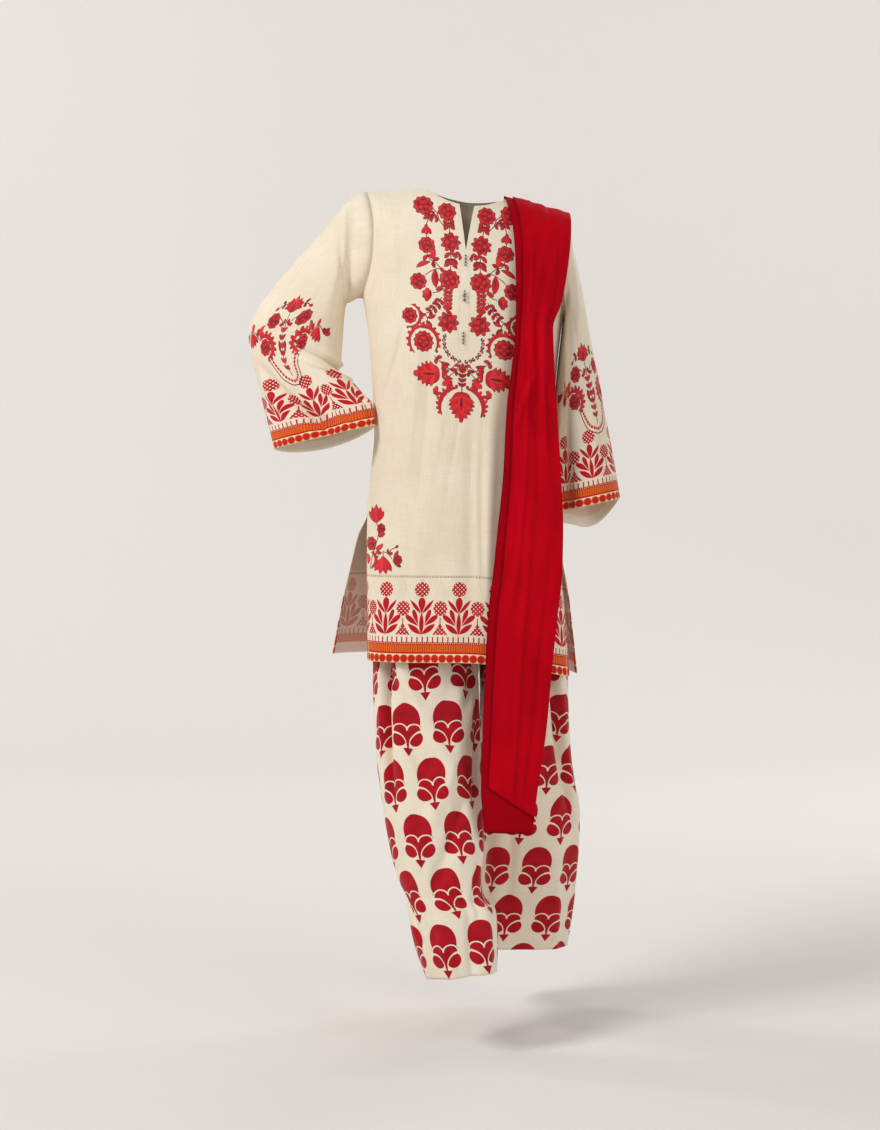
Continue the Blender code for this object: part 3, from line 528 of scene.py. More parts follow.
def signed_power(value):
    return np.sign(value) * np.abs(value) ** (2 / LEG_FULLNESS)


def hip_half(side, turn, drop):
    """Points of one side of the hips, from the middle of the front to the middle of the back."""
    row = rows_at(HIP, "drop", drop)
    half = row["right"] if side == RIGHT else row["left"]
    across = signed_power(np.sin(math.pi * turn))
    along = signed_power(np.cos(math.pi * turn))
    y = (row["front"] + row["back"]) / 2 - along * (row["back"] - row["front"]) / 2
    return CROTCH_X + side * (SEAM / 2 + half * across - side * CROTCH_X * across), y


def leg(side, turn, drop):
    """Points of a leg. turn runs from 0 at its front seam round its outside to 1 behind."""
    turn, drop = np.broadcast_arrays(np.asarray(turn, float), np.asarray(drop, float))
    hip_x, hip_y = hip_half(side, turn, drop)
    row = rows_at(LEG[side], "drop", drop)
    out = folds(LEG_FOLDS[side], turn, drop)
    angle = 2 * math.pi * turn
    half, deep = (row["outer"] - row["inner"]) / 2, (row["back"] - row["front"]) / 2
    x = (row["outer"] + row["inner"]) / 2 - half * signed_power(np.cos(angle))
    y = (row["front"] + row["back"]) / 2 - deep * signed_power(np.sin(angle))
    y = y + np.where(turn < 0.5, -1, 1) * SEAM / 2
    parted = np.clip((drop - RISE_DROP) / (CROTCH_DROP - RISE_DROP), 0, 1) ** 2
    x, y = hip_x + (x - hip_x) * parted, hip_y + (y - hip_y) * parted
    x = x - np.sign(half) * out * np.cos(angle) * parted
    x = x + side * out * np.sin(math.pi * turn) * (1 - parted)
    y = y - out * np.where(parted > 0.5, np.sin(angle), np.cos(math.pi * turn))
    inner_rise, front_rise = HEM_RISE[side]
    edge = inner_rise * (1 + np.cos(angle)) / 2 + front_rise * np.sin(angle) / 2
    edge = edge * smooth_step((drop - 1.15) / 0.25)
    return np.stack([x, y, BASE - drop + edge], axis=-1)


def waistband():
    """The grid of the waistband, closed round the waist."""
    drop = np.linspace(WAISTBAND_TOP_DROP, WAIST_DROP - SEAM, WAISTBAND_ROWS + 1)[:, None]
    turn = np.linspace(0, 1, WAISTBAND_STEPS + 1)
    left, right = (np.stack(hip_half(side, turn, drop), axis=-1) for side in (LEFT, RIGHT))
    ring = np.concatenate([left[:, :-1], right[:, :0:-1]], axis=1)
    height = np.broadcast_to(BASE - drop, ring.shape[:2])
    return np.concatenate([ring, height[..., None]], axis=-1)


# Dupatta

# Each row is one place along the folded dupatta, from its front hem over the shoulder to its back
# hem, with the points of its edge nearer the neck and its edge nearer the arm.
SCARF = table("neck_x neck_y neck_drop arm_x arm_y arm_drop crown", """
0.0289 -0.152 1.138 0.11 -0.15 1.141 0.002
0.0224 -0.153 1.061 0.118 -0.151 1.072 0.003
0.0254 -0.153 0.964 0.1337 -0.15 0.964 0.004
0.0302 -0.152 0.842 0.145 -0.148 0.842 0.004
0.0353 -0.151 0.752 0.1545 -0.146 0.752 0.004
0.0432 -0.15 0.687 0.1615 -0.144 0.687 0.004
0.0517 -0.149 0.603 0.1632 -0.142 0.603 0.004
0.06 -0.149 0.524 0.1597 -0.14 0.524 0.004
0.0666 -0.15 0.402 0.1525 -0.136 0.402 0.004
0.0744 -0.15 0.335 0.1487 -0.13 0.335 0.005
0.0814 -0.147 0.269 0.1462 -0.12 0.262 0.006
0.0834 -0.136 0.202 0.162 -0.103 0.213 0.007
0.0824 -0.114 0.134 0.1743 -0.088 0.145 0.008
0.078 -0.084 0.072 0.18 -0.07 0.094 0.007
0.071 -0.048 0.0342 0.1815 -0.042 0.062 0.004
0.0665 0 0.015 0.181 0 0.048 0
0.068 0.047 0.0314 0.181 0.042 0.062 0.004
0.072 0.0892 0.0772 0.178 0.074 0.105 0.007
0.072 0.117 0.165 0.172 0.096 0.18 0.007
0.068 0.124 0.29 0.162 0.112 0.295 0.006
0.062 0.127 0.43 0.156 0.122 0.43 0.005
0.056 0.14 0.6 0.156 0.138 0.6 0.005
0.048 0.166 0.83 0.154 0.166 0.83 0.005
0.043 0.19 1.08 0.15 0.19 1.086 0.003
""")
# Folds by the share of its length from the front and the share of its width from the neck
SCARF_FOLDS = table(FOLD_COLUMNS, """
-0.05 0.3 0.58 0.48 0.05 0.004
-0.04 0.26 0.8 0.84 0.045 -0.0022
0.1 0.44 0.3 0.46 0.05 0.0036
0.2 0.5 0.62 0.56 0.055 -0.002
0.28 0.5 0.78 0.7 0.05 0.0045
0.32 0.395 0.16 0.66 0.06 0.005
0.34 0.41 0.3 0.84 0.055 -0.002
0.43 0.56 0.3 0.34 0.04 0.0018
0.42 0.58 0.86 0.8 0.035 -0.0016
0.001 0.03 0.2 0.9 0.06 0.0016
0.01 0.05 0.4 0.98 0.06 -0.0012
0.56 0.96 0.36 0.44 0.04 0.0018
0.56 0.98 0.66 0.6 0.04 -0.0016
""")


def scarf_spine():
    """The table again, with a share of the length for each row, to be read along the cloth."""
    middle = [(SCARF["neck_" + a] + SCARF["arm_" + a]) / 2 for a in ("x", "y", "drop")]
    steps = np.linalg.norm(np.diff(np.stack(middle, axis=1), axis=0), axis=1)
    share = np.concatenate([[0], np.cumsum(steps)])
    return dict(SCARF, share=share / share[-1])


def scarf(spine, across, share, out):
    """Points of the dupatta: across from its neck edge to its arm edge, and out from its middle."""
    across, share, out = np.broadcast_arrays(across, share, out)
    inset = np.clip(across, 0, 1)

    def middle(a, s):
        row = rows_at(spine, "share", s)
        neck, arm = (
            np.stack([row[edge + "_x"], row[edge + "_y"], BASE - row[edge + "_drop"]], axis=-1)
            for edge in ("neck", "arm")
        )
        flat = neck + (arm - neck) * a[..., None]
        crown = 4 * a * (1 - a) * row["crown"]
        side = np.tanh(flat[..., 1] / 0.05)
        flat[..., 1] += crown * side
        flat[..., 2] += crown * (1 - np.abs(side))
        return flat

    point, tiny = middle(inset, share), 1e-3
    wide = middle(inset + tiny, share) - middle(inset - tiny, share)
    long = middle(inset, share + tiny) - middle(inset, share - tiny)
    normal, wide = unit(np.cross(wide, long)), unit(wide)
    return point + normal * out[..., None] + wide * (across - inset)[..., None] * 0.1


def scarf_grid(stations):
    """The folded dupatta's outer side: the under layer, the fold at the arm edge, the upper one."""
    spine = scarf_spine()
    turn = np.linspace(-math.pi / 2, math.pi / 2, SCARF_BEND + 2)[1:-1]
    under = np.linspace(0, 1, SCARF_LAYER + 1)
    upper = np.linspace(1, SCARF_REVEAL, SCARF_LAYER + 1)
    across = np.concatenate([under, 1 + np.cos(turn) * SCARF_HALF / 0.1, upper])
    out = SCARF_HALF * np.concatenate([-np.ones(len(under)), np.sin(turn), np.ones(len(upper))])
    lift = np.concatenate([np.zeros(len(under)), (np.sin(turn) + 1) / 2, np.ones(len(upper))])
    inset = np.clip(across, 0, 1)
    (a, b), (c, d) = SCARF_TOP_ENDS["front"], SCARF_TOP_ENDS["back"]
    start, end = lift * (a + (b - a) * inset), 1 - lift * (1 - (c + (d - c) * inset))
    share = np.interp(stations, np.arange(len(spine["share"])), spine["share"])
    share = start + (end - start) * share[:, None]
    return scarf(spine, across, share, out)


# Surfaces of the pieces, to lay embroidery and stitches on

def grid_normals(points, ring):
    """Unit normals of a grid of points, out of the cloth."""
    if ring:
        wide = np.roll(points, -1, axis=1) - np.roll(points, 1, axis=1)
    else:
        wide = np.gradient(points, axis=1)
    return unit(np.cross(np.gradient(points, axis=0), wide))


def with_first(grid):
    """A grid that closes, with its first column again at its end."""
    return np.concatenate([grid, grid[:, :1]], axis=1)


def laid(face, limit=math.inf):
    """A surface for stitches on the front or back, by x and the drop in millimetres.

    limit is how far out points may lie, in half widths."""
    def surface(x, drop):
        half, hole = (half_widths(tab, x, drop) for tab in (BODY[face], ARMHOLE))
        across = x / np.where(drop >= UNDERARM_DROP, half, hole)
        return body(face, np.clip(across, -limit, limit), drop)

    def points_and_normals(x, drop, tiny=1e-4):
        x, drop = np.asarray(x, float) / 1000, np.asarray(drop, float) / 1000
        along = surface(x + tiny, drop) - surface(x - tiny, drop)
        down = surface(x, drop + tiny) - surface(x, drop - tiny)
        normals = unit(np.cross(down, along))
        return surface(x, drop), normals * np.where(face * normals[..., 1:2] < 0, -1, 1)

    return points_and_normals


class Surface:
    """A ring's grid and its plane coordinates, which change steadily along rows and columns."""

    def __init__(self, points, plane, out):
        normals = out * grid_normals(points, True)
        self.plane = plane
        self.grids = with_first(points), with_first(normals)

    def __call__(self, x, y):
        """Points and normals at plane coordinates: x along the last row, y down every column."""
        along, count = self.plane[-1, :, 0], self.plane.shape[1]
        around = np.where(x < along[0], x + along[-1] - along[0], x)
        column = np.interp(around, along, np.arange(count))
        left = np.clip(column.astype(int), 0, count - 2)
        share = (column - left)[:, None]
        places = []
        for c in (left, left + 1):
            height = np.arange(len(self.plane))[::-1]
            rows = np.array([np.interp(-v, self.plane[::-1, k, 1], height) for v, k in zip(y, c)])
            low = np.clip(rows.astype(int), 0, len(self.plane) - 2)
            places.append((c, low, (rows - low)[:, None]))
        return [
            sum((g[low, c] * (1 - part) + g[low + 1, c] * part) * weight
                for (c, low, part), weight in zip(places, (1 - share, share)))
            for g in self.grids
        ]


# Colours, as they read on a screen

def srgb(red, green, blue):
    shares = np.array([red, green, blue]) / 255
    linear = np.where(shares < 0.04045, shares / 12.92, ((shares + 0.055) / 1.055) ** 2.4)
    return (*linear.tolist(), 1.0)


CREAM, CREAM_SHADE, GROUND = srgb(241, 229, 208), srgb(230, 214, 187), srgb(235, 222, 199)
PRINT_RED, PRINT_DEEP = srgb(202, 22, 38), srgb(176, 14, 32)
ORANGE, BAND_RED, YELLOW = srgb(226, 104, 24), srgb(196, 30, 26), srgb(246, 222, 172)
# Paler than the print, as the back of a print is, and near white beyond the cream cloth as painted
# light on the wrong side, which the lamps barely reach
BORDER_BACK_PALE_AND_LIT = srgb(255, 240, 226)  # the ground of the border's wrong side
TROUSER_RED, TROUSER_DEEP = srgb(188, 16, 32), srgb(158, 10, 26)
SCARF_RED, SCARF_DEEP = srgb(200, 3, 27), srgb(168, 1, 17)
UNDER_RED, UNDER_DEEP = srgb(174, 3, 22), srgb(148, 1, 13)  # the under layer, less lit
# The dark red of the hem stitches, and of the painted shadow along each edge of the dupatta
SCARF_STITCH_AND_SHADOW = srgb(112, 0, 10)
SILVER_LIGHT, SILVER_DARK = srgb(158, 152, 144), srgb(58, 54, 50)
BACKDROP = srgb(229, 224, 219)
THREADS = {
    "thread_bright": srgb(212, 34, 38),
    "thread_red": srgb(186, 22, 30),
    "thread_deep": srgb(148, 16, 26),
    "thread_maroon": srgb(96, 18, 26),
    "thread_brown": srgb(120, 58, 52),
    "thread_cream": srgb(206, 186, 156),
}
BRIGHT, RED, DEEP, MAROON, BROWN, PALE = range(len(THREADS))


# Materials

class Value:
    """A number, vector or colour that a material works out at each point of a surface."""

    def __init__(self, tree, socket):
        self.tree, self.socket = tree, socket

    def math(self, operation, *others, clamp=False):
        inputs = dict(enumerate((self, *others)))
        return make(self.tree, "ShaderNodeMath", inputs, operation=operation, use_clamp=clamp)

    def __add__(self, other):
        return self.math("ADD", other)

    def __sub__(self, other):
        return self.math("SUBTRACT", other)

    def __mul__(self, other):
        return self.math("MULTIPLY", other)

    def times_plus(self, factor, term, clamp=False):
        return self.math("MULTIPLY_ADD", factor, term, clamp=clamp)

    def folded(self, half_pitch):
        """The distance from the nearest of lines at every twice half_pitch, one of them at 0."""
        return self.math("PINGPONG", half_pitch)

    def within(self, middle, half):
        """Positive where the number is less than half away from middle."""
        return (self - middle).math("ABSOLUTE").times_plus(-1, half)

    def part(self, index):
        return make(self.tree, "ShaderNodeSeparateXYZ", {0: self}, output=index)


def feed(node, inputs):
    """Links or sets the inputs of a node."""
    for key, value in dict(inputs).items():
        if isinstance(value, Value):
            value.tree.links.new(value.socket, node.inputs[key])
        else:
            node.inputs[key].default_value = value
    return node


def make(tree, kind, inputs=(), output=0, **settings):
    """A new node of a material, with its inputs linked or set, as a value to reckon with."""
    node = tree.nodes.new(kind)
    for name, value in settings.items():
        setattr(node, name, value)
    return Value(tree, feed(node, inputs).outputs[output])


def uv_plane(tree, layer="cloth"):
    return make(tree, "ShaderNodeUVMap", uv_map=layer)


def joined(x, y):
    return make(x.tree, "ShaderNodeCombineXYZ", {0: x, 1: y})


def most(values):
    """The greatest of several numbers: the union of the shapes that they describe."""
    best = values[0]
    for value in values[1:]:
        best = best.math("MAXIMUM", value)
    return best


def mask(shape, soft=0.5):
    """1 inside a shape, where its number is positive, and 0 outside, with a soft edge."""
    return shape.times_plus(1 / soft, 0.5, clamp=True)


def blend(share, first, second, kind="MIX"):
    """first where share is 0, second where it is 1."""
    tree = next(v.tree for v in (share, first, second) if isinstance(v, Value))
    inputs = {0: share, 6: first, 7: second}
    return make(tree, "ShaderNodeMix", inputs, output=2, data_type="RGBA", blend_type=kind)


def placed(plane, centre, turn, size):
    """The plane seen from a shape with this centre, turn and size."""
    inputs = {"Location": (*centre, 0), "Rotation": (0, 0, turn), "Scale": (*size, 1)}
    inputs["Vector"] = plane
    return make(plane.tree, "ShaderNodeMapping", inputs, vector_type="TEXTURE")


def framed(plane, start, end, half_width):
    """How far aside, in half widths, and how far along, from -1 to 1, in a shape."""
    (ax, ay), (bx, by) = start, end
    size = (half_width, math.hypot(bx - ax, by - ay) / 2)
    near = placed(plane, ((ax + bx) / 2, (ay + by) / 2), math.atan2(ax - bx, by - ay), size)
    return near.part(0).math("ABSOLUTE"), near.part(1)


def ellipse(plane, centre, across, high, turn=0.0):
    near = placed(plane, centre, turn, (across, high))
    size = make(plane.tree, "ShaderNodeVectorMath", {0: near}, output=1, operation="LENGTH")
    return size.times_plus(-min(across, high), min(across, high))


def leaf(plane, start, end, half_width):
    """Pointed at both ends."""
    side, along = framed(plane, start, end, half_width)
    return ((along * along).times_plus(-1, 1) - side) * half_width


def petal(plane, start, end, half_width):
    """Pointed at its start and round at its end."""
    side, along = framed(plane, start, end, half_width)
    room = along.times_plus(-1, 1, clamp=True).math("SQRT")
    return (room * along.times_plus(0.9186, 0.9186) - side) * half_width


def noise(plane, scale, detail=3.0):
    """Smooth noise about 0.5. scale is a number or one for each axis."""
    if not np.isscalar(scale):
        inputs = {"Vector": plane, "Scale": (*scale, 1)}
        plane, scale = make(plane.tree, "ShaderNodeMapping", inputs), 1.0
    inputs = {"Vector": plane, "Scale": scale, "Detail": detail, "Roughness": 0.55}
    return make(plane.tree, "ShaderNodeTexNoise", inputs)


def mottled(grain, first, second, contrast=2.4):
    """Two colours mixed by noise."""
    return blend(grain.times_plus(contrast, (1 - contrast) / 2, clamp=True), first, second)


def bump(height, strength):
    inputs = {"Strength": strength, "Distance": 0.0002, "Height": height}
    return make(height.tree, "ShaderNodeBump", inputs)


def new_material(name, sockets):
    """A material. sockets(tree) gives its shader's inputs by name."""
    material = bpy.data.materials.new(name)
    material.use_nodes = True
    tree = material.node_tree
    feed(tree.nodes["Principled BSDF"], sockets(tree))
    return material


def cloth_material(
    name, colours, roughness=0.75, sheen=0.15, slub=1.0, tint=(1, 1, 1, 1), specular=0.15
):
    """A woven cloth. colours(plane) gives its base colour, on the plane of its UV map in metres."""
    pitch, wave = 0.00052, 0.4  # of the weave

    def sockets(tree):
        plane = uv_plane(tree)
        threads = noise(plane, (26.0, 1100.0), 2.0) + noise(plane, (1100.0, 22.0), 2.0)
        shade = threads.times_plus(0.26 * slub, 1 - 0.26 * slub)
        warp, weft = ((plane.part(axis) * (2 * math.pi / pitch)).math("SINE") for axis in (0, 1))
        height = warp * weft * wave + threads * (1.6 * slub)
        height = height + noise(plane, 34.0, 4.0) * (4.5 * slub)
        return {
            "Base Color": blend(1.0, colours(plane), shade, "MULTIPLY"),
            "Normal": bump(height, 0.35),
            "Roughness": roughness,
            "Sheen Weight": sheen,
            "Sheen Roughness": 0.45,
            "Sheen Tint": tint,
            "Specular IOR Level": specular,
        }

    return new_material(name, sockets)


def thread_material(name, colour):
    """Satin stitch: fine ribs across each shape, with a sheen."""
    def sockets(tree):
        ribs = (uv_plane(tree).part(1) * (2 * math.pi * 3.0)).math("SINE")
        grain = noise(make(tree, "ShaderNodeTexCoord", output=3), 900.0, 2.0)
        return {
            "Base Color": mottled(grain, colour, tuple(min(1.0, v * 1.35) for v in colour), 1.4),
            "Normal": bump(ribs + grain * 2.0, 0.4),
            "Roughness": 0.5,
            "Sheen Weight": 0.25,
            "Sheen Tint": colour,
            "Specular IOR Level": 0.35,
        }

    return new_material(name, sockets)


def silver(tree):
    """Dull silver, darkened in its hollows."""
    worn = noise(make(tree, "ShaderNodeTexCoord", output=3), 700.0, 3.0)
    return {
        "Base Color": mottled(worn, SILVER_DARK, SILVER_LIGHT, 2.0),
        "Roughness": worn.times_plus(-0.3, 0.5),
        "Metallic": 0.9,
    }


def cream(plane):
    return mottled(noise(plane, 9.0), CREAM_SHADE, CREAM, 1.6)


def border(plane):
    """The printed border over the cream cloth, by the way along the hem and the height above it."""
    along, height = plane.part(0) * 1000, plane.part(1) * 1000
    half = PLANT_PITCH / 2
    beside = along.folded(half)
    sides = joined(beside, height)
    plant = [
        petal(sides, (0, 86), (0, 114), 6.2),
        leaf(sides, (1.0, 86), (20.5, 110), 3.2),
        petal(sides, (5.5, 66), (15.0, 93), 3.9),
        petal(sides, (5.0, 64), (28.0, 83), 4.6),
        leaf(sides, (1.0, 50), (24.0, 68), 4.8),
        leaf(sides, (0, 48), (0, 88), 4.0),
    ]
    checks = (beside.folded(3.7) + (height - 2.3).folded(3.7)).within(3.7, 2.05)
    stem = (beside - half).math("ABSOLUTE")
    pine = (height.times_plus(-0.62, 43.4) - stem).math("MINIMUM", height - 49)
    balls = most([ellipse(sides, (0, 128), 13, 13), ellipse(sides, (half, 95), 12.5, 13), pine])
    twig = stem.times_plus(-1, 0.9).math("MINIMUM", height.within(70, 9))
    bars = along.folded(4.55).times_plus(-1, 1.2).math("MINIMUM", height.within(39.5, 6.0))
    dots, points = joined(along.folded(6.8), height), joined(along.folded(1.7), height)
    lines = mask(along.folded(2.1).times_plus(-1, 0.75), 0.6)
    red = mottled(noise(plane, 60.0), PRINT_DEEP, PRINT_RED)
    colour = cream(plane)
    for share, over in (
        (mask(most([*plant, balls.math("MINIMUM", checks), twig, bars])), red),
        (mask(height.times_plus(-1, 19.0)), YELLOW),
        (mask(ellipse(dots, (0, 7.6), 7.2, 7.2), 0.8), ORANGE),
        (mask(ellipse(dots, (0, 7.6), 5.9, 6.2)), BAND_RED),
        (mask(height.within(25.5, 7.2)), blend(lines * 0.8, ORANGE, BAND_RED)),
        (mask(height.within(17.4, 1.5).math("MAXIMUM", height.within(34.0, 2.2))), red),
        (mask(ellipse(points, (0, 34), 0.75, 0.75), 0.4), YELLOW),
    ):
        colour = blend(share, colour, over)
    return colour


def above_hem(plane, low, rise):
    """How pale a wrong side is: less on its turned-up hem, where mask is 1, if rise is positive."""
    return mask(plane.part(1).times_plus(-1000, 20.0), 1.0) * rise + low


def border_inside(plane):
    """The back of the print, pale and brightened with painted light, with a turned-up hem and a
    turned-in edge at each side slit.
    """
    full = border(plane)
    # Mixed towards the near-white ground: partly the paler back of the print, partly painted light
    pale = blend(above_hem(plane, 0.4, 0.7), full, BORDER_BACK_PALE_AND_LIT)
    edge = uv_plane(plane.tree, "edge").part(0)
    return blend(mask(edge.times_plus(-1000, 13.0), 0.8), pale, full)


def sleeve_inside(plane):
    """The back of the sleeve's print, pale, with a plain turned-up hem."""
    return blend(above_hem(plane, 0.78, 0.22), border(plane), CREAM)


def buta(plane):
    """One printed flower: a round head over leaves and an arrowhead, mirrored about x = 0."""
    red = most([
        ellipse(plane, (0, 64), 27, 31),
        ellipse(plane, (16, 31), 14, 12.5, 0.5),
        leaf(plane, (-2, 24), (28, 53), 8.0),
        leaf(plane, (0, 10), (0, 44), 2.6),
    ])
    side, height = plane.part(0), plane.part(1)
    arrow = (height * 0.66 - side).math("MINIMUM", side * -0.15 - height + 15.5)
    arch = ellipse(plane, (13.5, 46.5), 13.5, 11).math("ABSOLUTE").times_plus(-1, 1.1)
    arch = arch.math("MINIMUM", height - 46)
    vein = ellipse(plane, (28, 21), 25, 22.5).math("ABSOLUTE") - side.times_plus(0.055, 0.55)
    vein = (vein * -1.0).math("MINIMUM", (height - 15).math("MINIMUM", side * -1.0 + 29.0))
    cut = arch.math("MAXIMUM", vein)
    return red.math("MINIMUM", cut * -1.0).math("MAXIMUM", arrow)


def trouser(plane):
    """Rows of printed flowers, every second row shifted by half."""
    along, height = plane.part(0) * 1000, plane.part(1) * 1000
    shapes = []
    for shift in (0, 0.5):
        side = (along + shift * BUTA_ACROSS).folded(BUTA_ACROSS / 2)
        rise = (height + shift * BUTA_DOWN).math("FLOORED_MODULO", BUTA_DOWN)
        shapes.append(buta(joined(side, rise - 50.0)))
    red = mottled(noise(plane, 40.0), TROUSER_DEEP, TROUSER_RED)
    return blend(mask(most(shapes)), mottled(noise(plane, 14.0), GROUND, CREAM), red)


def trouser_inside(plane):
    return blend(0.55, trouser(plane), GROUND)


def scarf_colour(plane):
    """Red, with a row of stitches inside each rolled edge and a painted shadow along the edge
    itself. The under layer is painted darker, as shade.
    """
    edge = uv_plane(plane.tree, "edge")
    upper = mottled(noise(plane, 7.0), SCARF_DEEP, SCARF_RED, 1.8)
    # The under layer gets darker reds: painted shade, as it is less lit
    lower = mottled(noise(plane, 9.0), UNDER_DEEP, UNDER_RED, 1.6)
    red = blend((edge.part(0) - 0.5).math("GREATER_THAN", 0.0), upper, lower)
    near = edge.part(0).math("FLOORED_MODULO", 1.0).math("MINIMUM", edge.part(1)) * 1000
    # The first mask is the row of hem stitches; the second, within 2.4 mm of each edge, is a
    # painted shadow
    hem, roll = mask(near.within(6.0, 0.9), 0.8), mask(near.times_plus(-1, 2.4), 1.6)
    return blend(most([hem * 0.22, roll * 0.7]), red, SCARF_STITCH_AND_SHADOW)


SILVER = new_material("bead_silver", silver)
CREAM_CLOTH = cloth_material("kameez_weave", cream)
BORDER = [
    cloth_material("border_weave", border),
    cloth_material("border_weave_inside", border_inside),
]
SLEEVE_CLOTH = [
    cloth_material("sleeve_weave", border),
    cloth_material("sleeve_weave_inside", sleeve_inside),
]
TROUSER = [
    cloth_material("trouser_weave", trouser, roughness=0.8),
    cloth_material("trouser_weave_inside", trouser_inside, roughness=0.8),
]
PLAIN_CLOTH = cloth_material("waistband_weave", cream)
SCARF_CLOTH = cloth_material(
    "dupatta_weave", scarf_colour,
    roughness=0.6, sheen=0.25, slub=0.35, tint=(0.8, 0.02, 0.05, 1), specular=0.03,
)
THREAD_MATERIALS = [thread_material(name, colour) for name, colour in THREADS.items()]


# Meshes

def corners(rows, columns, closed, ring):
    """The four corners of every face of a grid, which may close along rows or columns."""
    counts = rows - (not closed), columns - (not ring)
    i, j = np.meshgrid(*map(np.arange, counts), indexing="ij")
    return [(i, j), (i + 1, j), (i + 1, j + 1), (i, j + 1)]


def quads(rows, columns, closed, ring):
    spots = corners(rows, columns, closed, ring)
    return np.stack([a % rows * columns + b % columns for a, b in spots], axis=-1).reshape(-1, 4)


def new_object(name, data):
    thing = bpy.data.objects.new(name, data)
    bpy.context.scene.collection.objects.link(thing)
    return thing


def new_piece(name, points, faces, paints, **layers):
    """A smooth mesh in the scene. layers are its UV maps, a place for each corner of each face."""
    mesh = bpy.data.meshes.new(name)
    mesh.from_pydata(np.reshape(points, (-1, 3)).tolist(), [], np.reshape(faces, (-1, 4)).tolist())
    for layer, spread in layers.items():
        uv = mesh.uv_layers.new(name=layer)
        uv.data.foreach_set("uv", np.array(spread, float).reshape(-1))
    for paint in paints:
        mesh.materials.append(paint)
    mesh.shade_smooth()
    return new_object(name, mesh)


def belongs(piece, slot, *nodes):
    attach(piece, "root")
    if nodes:
        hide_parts(*nodes)
    return piece


def dress(
    node, slot, points, plane, paints, held="hung", rests_on=(), ring=False, wall=WALL, **more
):
    """A cloth in place of a node. plane gives the UV map, with one more column on a ring."""
    rows, columns = points.shape[:2]
    spots = corners(rows, columns, False, ring)
    layers = {
        layer: np.stack([grid[a, b] for a, b in spots], axis=2)
        for layer, grid in dict(cloth=plane, **more).items()
    }
    name = SHORT_NAMES.get(node, node) + "_cloth"
    piece = new_piece(name, points, quads(rows, columns, False, ring), paints, **layers)
    solid = piece.modifiers.new("wall", "SOLIDIFY")
    solid.thickness, solid.offset = wall, -1
    solid.material_offset = len(paints) - 1
    belongs(piece, slot, node)
    return piece


def lengths(points, axis, start=0, ring=False):
    """Distances along the rows or the columns of a grid, from its line number start."""
    if ring:
        points = with_first(points)
    steps = np.linalg.norm(np.diff(points, axis=axis), axis=-1)
    total = np.insert(np.cumsum(steps, axis=axis), 0, 0, axis=axis)
    return total - np.take(total, [start], axis=axis)


# Pieces of cloth

def dress_body():
    breaks = {
        FRONT: (0, SLIT_HALF / SHOULDER_HALF, NECK_HALF / SHOULDER_HALF, PANEL_EDGE, 1),
        BACK: (0, NECK_HALF / SHOULDER_HALF, PANEL_EDGE, 1),
    }
    tip = float(ridge_drop(SHOULDER_HALF))
    share = (UNDERARM_DROP - tip) / (BORDER_DROP - tip)
    rows = np.concatenate([share * eased(ARMHOLE_STEPS), stretches((share, 1, PANEL_ROWS))[1:]])
    for face, name in ((FRONT, "kameez_front"), (BACK, "kameez_back")):
        half = stretches(*zip(breaks[face], breaks[face][1:], PANEL_STEPS[face]))
        columns = np.concatenate([-half[:0:-1], half])
        top = neck_drop(face, columns * SHOULDER_HALF)
        drop = top + (BORDER_DROP - SEAM / 2 - top) * rows[:, None]
        plane = np.stack([columns * SHOULDER_HALF + 0 * drop, drop], axis=-1)
        band_drop = np.linspace(BORDER_DROP + SEAM / 2, HEM_DROP, BAND_ROWS + 1)[:, None]
        band = body(face, columns, band_drop)
        along = lengths(band, 1, len(columns) // 2)
        height = (HEM_DROP - band_drop) + 0 * along
        band_plane = np.stack([along + PRINT_SHIFT[face], height], axis=-1)
        edge = np.stack([np.minimum(along - along[:, :1], along[:, -1:] - along), height], axis=-1)
        points, plane, band, band_plane, edge = (
            grid[:, ::-face] for grid in (body(face, columns, drop), plane, band, band_plane, edge)
        )
        shell = dress(name, "cream_cloth", points, plane, [CREAM_CLOTH])
        border_name, rests_on = name + "_border", [shell]
        dress(border_name, "border_print", band, band_plane, BORDER, rests_on=rests_on, edge=edge)


def dress_sleeves():
    """Both sleeves. Gives the surface of each, in millimetres along and down, to embroider on."""
    surfaces = {}
    for side, word in SIDES:
        last = SLEEVE[side]["run"][-1]
        runs = stretches((0, 1, SLEEVE_CAP_ROWS), (1, last, SLEEVE_ROWS - 1))
        points = sleeve(side, armhole_loop(side), runs)
        down = -with_first(lengths(points, 0, -1))
        start = int(round(points.shape[1] * SLEEVE_AXIS[side]))
        along = lengths(points[-1:], 1, start, ring=True) + 0 * down
        points = points - side * WALL * grid_normals(points, True)
        ahead, across_scale, down_scale = CUFF_PRINT[side]
        plane = np.stack([(along + ahead) / across_scale, down * down_scale], axis=-1)
        surfaces[word] = Surface(points, np.stack([along, down], axis=-1) * 1000, -side)
        if side == LEFT:
            points, plane = with_first(points)[:, :0:-1], plane[:, ::-1]
        dress("sleeve_" + word, "cream_cloth", points, plane, SLEEVE_CLOTH, ring=True)
    return surfaces


def dress_shalwar():
    turns = stretches(*LEG_TURNS)
    above, below = LEG_ROWS
    drops = stretches((WAIST_DROP, CROTCH_DROP, above), (CROTCH_DROP, LEG_FOOT_DROP, below))
    rests_on = ["waistband_cloth"]
    for side, word in SIDES:
        points = leg(side, turns, drops[:, None])
        along = lengths(points, 1, int(np.argmin(np.abs(turns - LEG_AXIS))))
        down = lengths(points, 0, -1)
        shift, rise, shear = TROUSER_SHIFT[side]
        plane = np.stack([side * along + shift + shear * down, -down + rise], axis=-1)
        points, plane = points[:, ::side], plane[:, ::side]
        dress("shalwar_leg_" + word, "trouser_print", points, plane, TROUSER, rests_on=rests_on)


